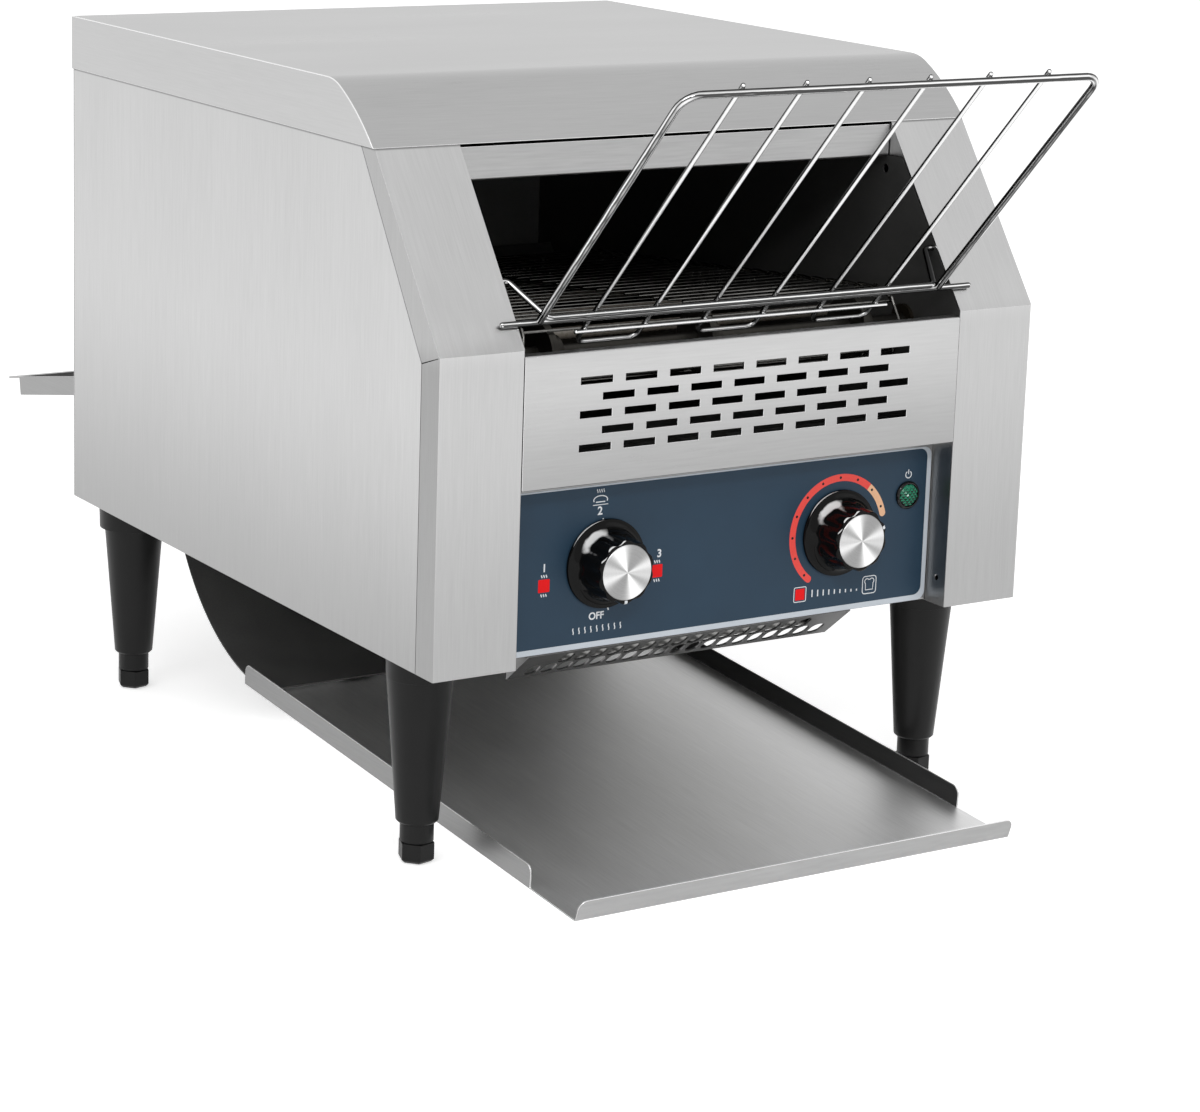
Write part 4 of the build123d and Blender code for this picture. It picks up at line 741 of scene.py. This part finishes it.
screws = {"headR": 3.5, "headH": 1.6, "dome": ((1, 0), (1, 0.45), (0.93, 0.74), (0.78, 0.93)),
          "recessR": 2.0, "recessHalf": 0.45, "recessDepth": 0.9, "turn": (0, 345, 23),
          "rearX": 179.0, "rearY": 431.2, "rearZ": (129.92, 219.52, 291.2, 350.08),
          "grilleX": (-97.8, 67.2), "grilleY": 25.6, "grilleZ": 111.2}


def crossOutline(reach, half):
    points = []
    for c, s in arc(0, 0, 1, *screws["turn"]):
        small, big = sorted((abs(c), abs(s)))
        scale = reach / big if small / big < half / reach else half / small
        points.append((c * scale, s * scale))
    return points


def screwMesh():
    # a low domed head, opened by the cross recess; z is the way out of the sheet
    shape = bmesh.new()
    headR, headH = screws["headR"], screws["headH"]
    rings = [[(x, y, headH * high) for x, y in arc(0, 0, headR * wide, *screws["turn"])]
             for wide, high in screws["dome"]]
    reach, half = screws["recessR"], screws["recessHalf"]
    for outline, deep in ((crossOutline(reach, half), 0),
                          (crossOutline(reach * 0.7, half * 0.8), screws["recessDepth"])):
        rings.append([(x, y, headH - deep) for x, y in outline])
    skin(shape, [[shape.verts.new(Vector(p) / 1000) for p in ring] for ring in rings])
    return meshFromShape("screwHead", shape, 32)


def makeScrews():
    # every screw stopped at its own angle
    rear, low = [], []
    for side in (-1, 1):
        for index, z in enumerate(screws["rearZ"]):
            spin = Matrix.Rotation(0.4 + 1.1 * index + 0.5 * side, 3, "Z")
            turn = Matrix.Rotation(-pi / 2, 3, "X") @ spin
            rear.append((place(side * screws["rearX"], screws["rearY"], z), turn.to_euler()))
    for index, x in enumerate(screws["grilleX"]):
        turn = Matrix.Rotation(pi, 3, "X") @ Matrix.Rotation(0.3 + index, 3, "Z")
        low.append((place(x, screws["grilleY"], screws["grilleZ"]), turn.to_euler()))
    for name, spots, node in (("rearScrewHeads", rear, "rear_screws"),
                              ("grilleScrewHeads", low, "grille_screws")):
        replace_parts(repeated(name, screwMesh(), spots, screwSteel), node)


makeScrews()
print("screws set")


# Knobs: a bell-shaped flange that runs into a softly fluted grip, with a white pointer line

knob = {"flangeR": 23.5, "rimH": 1.6, "flareTop": 7.5, "gripR": 17.6, "frontR": 16.8,
        "height": 20.6, "round": 1.3, "lip": 0.3, "flutes": 10, "fluteDepth": 1.5, "capR": 14.7,
        "capDepth": 0.75, "steps": 240, "fluteShape": 1.6, "pointerW": 1.7, "pointerDeep": 0.35,
        "pointerEnd": 5.5}


def knobProfile():
    # radius, height, and how deep the flutes are there
    gripR, flangeR, flare, rimH, frontR, lip = (
        knob[k] for k in ("gripR", "flangeR", "flareTop", "rimH", "frontR", "lip"))
    rows = [(0.0, 0.0, 0), (flangeR - lip, 0.0, 0), (flangeR, lip, 0), (flangeR, rimH - lip, 0)]
    for index in range(9):
        # the flange flares into the grip, and the flutes fade in over its last part
        share = index / 8
        angle = share * pi / 2
        radius = gripR + (flangeR - 0.2 - gripR) * (1 - sin(angle))
        height = rimH + (flare - rimH) * (1 - cos(angle))
        rows.append((radius, height, max(0, share - 0.6) * 1.2))
    top = knob["height"] - knob["round"]
    for index in range(1, 6):
        share = index / 5
        radius = gripR + (frontR - gripR) * share
        rows.append((radius, flare + (top - flare) * share, min(1.0, 0.5 + share)))
    bend = arc(frontR - knob["round"], top, knob["round"], 22.5, 90, 3)
    rows += [(radius, height, 1 - i / 6) for i, (radius, height) in enumerate(bend, 1)]
    sunk = knob["height"] - knob["capDepth"]
    return rows + [(knob["capR"], knob["height"], 0), (knob["capR"], sunk, 0), (0.0, sunk, 0)]


def makeKnob(name, node, pointerDegrees):
    low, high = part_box(node)
    centre = Vector(((low.x + high.x) / 2, high.y, (low.z + high.z) / 2))
    body = frame["nodes"][node]["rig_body"]
    shape = bmesh.new()
    rings = []
    for radius, height, flute in knobProfile():
        ring = []
        for index in range(knob["steps"] if radius else 1):
            angle = 2 * pi * index / knob["steps"]
            wave = 0.5 - 0.5 * cos(knob["flutes"] * (angle - radians(pointerDegrees)))
            reach = radius - flute * knob["fluteDepth"] * wave ** knob["fluteShape"]
            spot = Vector((reach * cos(angle), -height, reach * sin(angle)))
            ring.append(shape.verts.new(centre + spot / 1000))
        rings.append(ring)
    skin(shape, rings, ends=False)
    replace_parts(pieceFromShape(name, shape, knobPlastic, body, 40), node)
    pointer = bmesh.new()
    turn = radians(pointerDegrees)
    out = Vector((cos(turn), 0, sin(turn)))
    wide = Vector((-sin(turn), 0, cos(turn))) * mm(knob["pointerW"] / 2)
    top = knob["height"] - knob["round"]
    line = [(knob["capR"] + 0.15, knob["height"] + 0.02),
            *arc(knob["frontR"] - knob["round"], top, knob["round"] + 0.03, 90, 0, 4),
            (knob["frontR"] + 0.25, top - knob["pointerEnd"])]
    rings = []
    for radius, height in line:
        outer, inner = (centre + out * mm(radius - depth) + Vector((0, -mm(height - depth), 0))
                        for depth in (0, knob["pointerDeep"]))
        rings.append([pointer.verts.new(spot) for spot in (outer - wide, outer + wide,
                                                           inner + wide, inner - wide)])
    skin(pointer, rings)
    pieceFromShape(name + "Pointer", pointer, inkWhite, body, 50)


makeKnob("heatKnobGrip", "heat_knob", -90.0)
makeKnob("speedKnobGrip", "speed_knob", 22.5)
print("knobs turned")


# Lamp lens: a low dome moulded in small pyramids

lens = {"radius": 6.15, "dome": 1.5, "base": 1.4, "foot": 0.6, "cell": 1.9, "peak": 0.75,
        "slack": 0.35}


def makeLens():
    radius, cell = lens["radius"], lens["cell"]
    low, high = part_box("lamp_lens")
    centre = Vector(((low.x + high.x) / 2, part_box("control_overlay")[0].y, (low.z + high.z) / 2))
    shape = bmesh.new()
    verts = {}

    def spot(u, v, lift=0.0):
        # u and v run along the two ways of the pyramids, turned by 45 degrees
        key = (round(u, 3), round(v, 3), lift > 0)
        if key not in verts:
            x = (u - v) * cell * sqrt(0.5)
            z = (u + v) * cell * sqrt(0.5)
            reach = hypot(x, z)
            if reach > radius:
                x, z, reach = (value * radius / reach for value in (x, z, reach))
            rise = lens["dome"] * (1 - (reach / radius) ** 2)
            out = lens["base"] + rise + lift * (1 - 0.5 * reach / radius)
            verts[key] = shape.verts.new(centre + Vector((x, -out, z)) / 1000)
        return verts[key]

    span = int(radius / cell) + 2
    for i in range(-span, span):
        for j in range(-span, span):
            if hypot(i + 0.5, j + 0.5) * cell > radius + lens["slack"]:
                continue
            corners = [spot(i, j), spot(i + 1, j), spot(i + 1, j + 1), spot(i, j + 1)]
            peak = spot(i + 0.5, j + 0.5, lens["peak"])
            for a, b in zip(corners, corners[1:] + corners[:1]):
                if a is not b:
                    shape.faces.new((a, b, peak))
    rim = [e for e in shape.edges if e.is_boundary]
    wall = bmesh.ops.extrude_edge_only(shape, edges=rim)["geom"]
    for vert in wall:
        if isinstance(vert, bmesh.types.BMVert):
            vert.co.y = centre.y - mm(lens["foot"])
    back = [e for e in wall if isinstance(e, bmesh.types.BMEdge)]
    bmesh.ops.contextual_create(shape, geom=back)
    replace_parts(pieceFromShape("lampJewel", shape, greenJewel, sharpAt=4), "lamp_lens")


makeLens()
print("lamp lens moulded")


# Control film: a slate field inside a silver border, with the printed marks

# the top border is narrower than the others, a painted shade: the slate field covers the silver
# that lies in the vent panel's shade
film = {"halfWidth": 134.5, "low": 113.0, "high": 198.4, "border": 2.7, "borderLow": 3.0,
        "borderHigh": 0.8, "corner": 5.0, "field": 0.02, "ink": 0.045, "back": 0.002,
        "knobX": 73.983, "knobZ": 156.8}
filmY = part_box("control_overlay")[0].y


def filmSpot(x, z, proud):
    return Vector((mm(x), filmY - mm(proud), mm(z)))


def patch(shape, outline, proud):
    # a patch of print with a hair's thickness
    skin(shape, [[shape.verts.new(filmSpot(x, z, level)) for x, z in outline]
                 for level in (film["back"], proud)])


def stroke(shape, points, width, closed=False):
    # a printed line of even width
    count = len(points)
    rails = []
    for i, (x, z) in enumerate(points):
        before = points[i - 1] if closed or i else points[i]
        after = points[(i + 1) % count] if closed or i < count - 1 else points[i]
        dx, dz = after[0] - before[0], after[1] - before[1]
        half = width / 2 / hypot(dx, dz)
        rails.append([shape.verts.new(filmSpot(x - side * dz * half, z + side * dx * half, level))
                      for side, level in ((-1, film["ink"]), (1, film["ink"]),
                                          (1, film["back"]), (-1, film["back"]))])
    skin(shape, rails + rails[:closed], not closed)


def roundedBox(x, z, wide, tall, corner, count=5):
    points = []
    for sx, sz, start in ((1, 1, 0), (-1, 1, 90), (-1, -1, 180), (1, -1, 270)):
        points += arc(x + sx * (wide / 2 - corner), z + sz * (tall / 2 - corner), corner, start,
                      start + 90, count)
    return points


def makeField():
    shape = bmesh.new()
    low, high = film["low"] + film["borderLow"], film["high"] - film["borderHigh"]
    wide = 2 * (film["halfWidth"] - film["border"])
    patch(shape, roundedBox(0, (low + high) / 2, wide, high - low, film["corner"], 8),
          film["field"])
    pieceFromShape("filmField", shape, filmBlue)


band = {"radius": 30.0, "width": 3.9, "hot": 232, "mild": 50, "last": 15, "arcStep": 3,
        "dots": 10, "firstDot": 225, "dotStep": 22.5, "dotR": 0.75, "dotDepth": 0.02}


def makeScale():
    # the speed scale: a band round the knob with round ends, and a dot at each step
    centre = film["knobX"], film["knobZ"]
    radius = band["radius"]
    hot, mild, last = band["hot"], band["mild"], band["last"]
    for name, start, end, material in (("scaleHot", hot, mild, inkCoral),
                                       ("scaleMild", mild, last, inkCream)):
        shape = bmesh.new()
        steps = int(abs(start - end) / band["arcStep"])
        stroke(shape, arc(*centre, radius, start, end, steps), band["width"])
        pieceFromShape(name, shape, material)
    for name, angle, material in (("scaleEndHot", hot, inkCoral),
                                  ("scaleEndMild", last, inkCream)):
        shape = bmesh.new()
        end = arc(*centre, radius, angle, angle, 1)[0]
        patch(shape, arc(*end, band["width"] / 2, 0, 345, 23), film["ink"] - 0.004)
        pieceFromShape(name, shape, material)
    dot = bmesh.new()
    bmesh.ops.create_cone(dot, cap_ends=True, segments=16, radius1=mm(band["dotR"]),
                          radius2=mm(band["dotR"]), depth=mm(band["dotDepth"]))
    places = arc(*centre, radius, band["firstDot"],
                 band["firstDot"] - band["dotStep"] * (band["dots"] - 1), band["dots"] - 1)
    spots = [(filmSpot(*spot, film["ink"] + 0.008), (pi / 2, 0, 0)) for spot in places]
    repeated("scaleDots", meshFromShape("dot", dot), spots, inkDark)


signs = {
    # wavy heat lines: x, z, how many, height, gap, width
    "heat": [(-77.8, 195.2, 4, 1.8, 1.3, 0.45), (-77.6, 122.6, 9, 3.4, 3.6, 0.6),
             *((x, z, 3, 1.5, 1.4, 0.6) for x in (-110.4, -41.8) for z in (143.9, 153.9))],
    # red blocks: x, z, width, height, corner
    "blocks": [(-110.4, 148.9, 6.8, 6.8, 0.4), (-41.8, 148.9, 6.8, 6.8, 0.4),
               (50.6, 125.2, 6.0, 6.2, 0.3)],
    # the lines round the slice and round the red block: the same, corner steps, line width
    "frames": [(96.6, 125.3, 9.0, 9.6, 1.6, 4, 0.5), (50.6, 125.2, 7.8, 8.0, 0.8, 3, 0.45)],
    # straight lines: x, z, x, z, width. Under the roll, by the left knob, in the power sign, and
    # the shrinking bars between the block and the slice
    "lines": [(-80.6, 189.4, -75.0, 189.4, 0.55), (-82.4, 187.9, -73.2, 187.9, 0.4),
              (-72.5, 135.4, -70.8, 131.6, 0.8), (-75.9, 180.6, -75.9, 177.8, 0.7),
              (119.5, 184.2, 119.5, 186.8, 0.55),
              *((58.6 + 3.7 * i, 122.9, 58.6 + 3.7 * i, 126.9 - 0.36 * i, 0.75)
                for i in range(9))],
    "roll": (-77.8, 190.4), "rollR": 3.1, "rollWider": 1.35, "rollLower": 0.72,
    "power": (119.5, 184.0), "powerR": 1.9, "bold": 0.55,
    "sliceX": (95.0, 98.2), "sliceZ": 127.3, "sliceR": 1.5, "sliceFoot": (94.2, 99.0),
    "sliceFootZ": 122.6, "sliceWidth": 0.5, "waveMm": 0.22,
}


def makeMarks():
    white, red = bmesh.new(), bmesh.new()
    for x, z, count, tall, gap, width in signs["heat"]:
        for index in range(count):
            middle = x + (index - (count - 1) / 2) * gap
            stroke(white, [(middle + signs["waveMm"] * sin(step / 6 * 2 * pi),
                            z + (step / 6 - 0.5) * tall) for step in range(7)], width)
    for block in signs["blocks"]:
        patch(red, roundedBox(*block, 2), film["ink"])
    for *outline, width in signs["frames"]:
        stroke(white, roundedBox(*outline), width, closed=True)
    for x, z, endX, endZ, width in signs["lines"]:
        stroke(white, [(x, z), (endX, endZ)], width)
    rollX, rollZ = signs["roll"]
    stroke(white, [(rollX + signs["rollWider"] * x, rollZ + signs["rollLower"] * z)
                   for x, z in arc(0, 0, signs["rollR"], -20, 200, 14)], signs["bold"])
    stroke(white, arc(*signs["power"], signs["powerR"], 122, 418, 20), signs["bold"])
    left, right = (arc(x, signs["sliceZ"], signs["sliceR"], start, start + 190, 8)
                   for x, start in zip(signs["sliceX"], (40, -50)))
    foot = [(x, signs["sliceFootZ"]) for x in signs["sliceFoot"]]
    stroke(white, left + foot + right, signs["sliceWidth"], closed=True)
    pieceFromShape("filmMarks", white, inkWhite)
    pieceFromShape("filmBlocks", red, inkRed)


words = {  # x, z and height of each word
    "OFF": (-78.2, 129.6, 3.8), "1": (-110.4, 158.4, 4.2), "2": (-77.9, 184.9, 4.4),
    "3": (-40.6, 158.4, 4.2),
}
capShare = 0.72  # a capital's height as a share of the type's size


def makeWords():
    for index, (text, (x, z, tall)) in enumerate(words.items()):
        letters = setAll(bpy.data.curves.new("letters", "FONT"), body=text, align_x="CENTER",
                         size=mm(tall / capShare), extrude=mm(0.012), offset=mm(0.14))
        flat = newObject("letters", letters)
        mesh = settled(flat)
        bpy.data.objects.remove(flat)
        stand = Matrix.Translation(filmSpot(x, z - tall / 2, film["ink"] - 0.012))
        mesh.transform(stand @ Matrix.Rotation(pi / 2, 4, "X"))
        pieceFromMesh("filmWord%d" % index, mesh, [inkWhite])


makeField()
makeScale()
makeMarks()
makeWords()
print("control film printed")


# Floor, light and camera

studio = {"floorColour": "#F4F4F4", "floorGlow": 0.55, "floorHalf": 6, "floorZ": -0.0005,
          "ambient": 0.72, "white": (1, 1, 1, 1)}


def seenRay(tree):
    # 1 for a ray that comes from the eye straight, by a reflection or through glass
    rays = addNode(tree, "LightPath").outputs
    glossy = addNode(tree, "Math", {0: rays["Is Camera Ray"], 1: rays["Is Glossy Ray"]},
                     operation="MAXIMUM")
    return addNode(tree, "Math", {0: glossy, 1: rays["Is Transmission Ray"]}, operation="MAXIMUM")


def makeWorld():
    # the eye sees plain white behind the toaster, and the toaster is lit a little less
    world = bpy.data.worlds.new("studioWhite")
    bpy.context.scene.world = world
    tree = freshTree(world)
    soft, plain = (addNode(tree, "Background", {"Color": studio["white"], "Strength": strength})
                   for strength in (studio["ambient"], 1.0))
    shown = addNode(tree, "MixShader", {0: seenRay(tree), 1: soft, 2: plain})
    addNode(tree, "OutputWorld", {"Surface": shown})


def makeFloor():
    mesh = bpy.data.meshes.new("floor")
    half, level = studio["floorHalf"], studio["floorZ"]
    mesh.from_pydata([(-half, -half, level), (half, -half, level), (half, half, level),
                      (-half, half, level)], [], [(0, 1, 2, 3)])
    floor = newObject("floor", mesh)
    # matt studio paper: a little glow for the eye lifts it to white and leaves the shadow
    paper = bpy.data.materials.new("studioPaper")
    tree = freshTree(paper)
    matt = addNode(tree, "BsdfDiffuse", {"Color": linear(studio["floorColour"])})
    glow = addNode(tree, "Math", {0: seenRay(tree), 1: studio["floorGlow"]}, operation="MULTIPLY")
    lift = addNode(tree, "Emission", {"Color": studio["white"], "Strength": glow})
    addNode(tree, "OutputMaterial", {"Surface": addNode(tree, "AddShader", {0: matt, 1: lift})})
    mesh.materials.append(paper)
    floor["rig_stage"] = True


lamps = {  # metres: where it stands, what it is aimed at, its width and height; then its watts
    "keyLight": ((-1.9, -1.1, 1.9), (0, 0, 0.2), (1.6, 1.2), 12),
    "glintLight": ((-0.8, -1.85, 1.45), (0, -0.2, 0.15), (0.5, 0.2), 9),
    "fillLight": ((1.6, -1.8, 1.2), (0, 0, 0.2), (1.2, 1.2), 2.5),
}


def makeLamps():
    for name, (location, target, size, watts) in lamps.items():
        lamp = setAll(bpy.data.lights.new(name, "AREA"), shape="RECTANGLE", size=size[0],
                      size_y=size[1], energy=watts)
        aim = (Vector(target) - Vector(location)).to_track_quat("-Z", "Y")
        setAll(newObject(name, lamp), location=location, rotation_mode="QUATERNION",
               rotation_quaternion=aim)


view = {"azimuth": -31.6834, "elevation": 12.5219, "roll": 1.6005, "distance": 1829.213,
        "target": (-44.799, 150.0, 196.494)}
glass = {"sensor_width": 36, "lens": 100.562, "shift_x": 0.0667, "shift_y": -0.105,
         "clip_start": 0.05, "clip_end": 50}


def makeCamera():
    azimuth, elevation, roll = (radians(view[k]) for k in ("azimuth", "elevation", "roll"))
    back = Vector((sin(azimuth) * cos(elevation), -cos(azimuth) * cos(elevation), sin(elevation)))
    right = (-back).cross(Vector((0, 0, 1))).normalized()
    up = right.cross(-back)
    stand = newObject("photoCamera", setAll(bpy.data.cameras.new("photoCamera"), **glass))
    turned = Matrix((right * cos(roll) + up * sin(roll), up * cos(roll) - right * sin(roll), back))
    turned = turned.transposed().to_4x4()
    turned.translation = place(*view["target"]) + back * mm(view["distance"])
    stand.matrix_world = turned
    bpy.context.scene.camera = stand


makeWorld()
makeFloor()
makeLamps()
makeCamera()
bpy.context.scene.view_settings.view_transform = "Standard"

low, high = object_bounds()
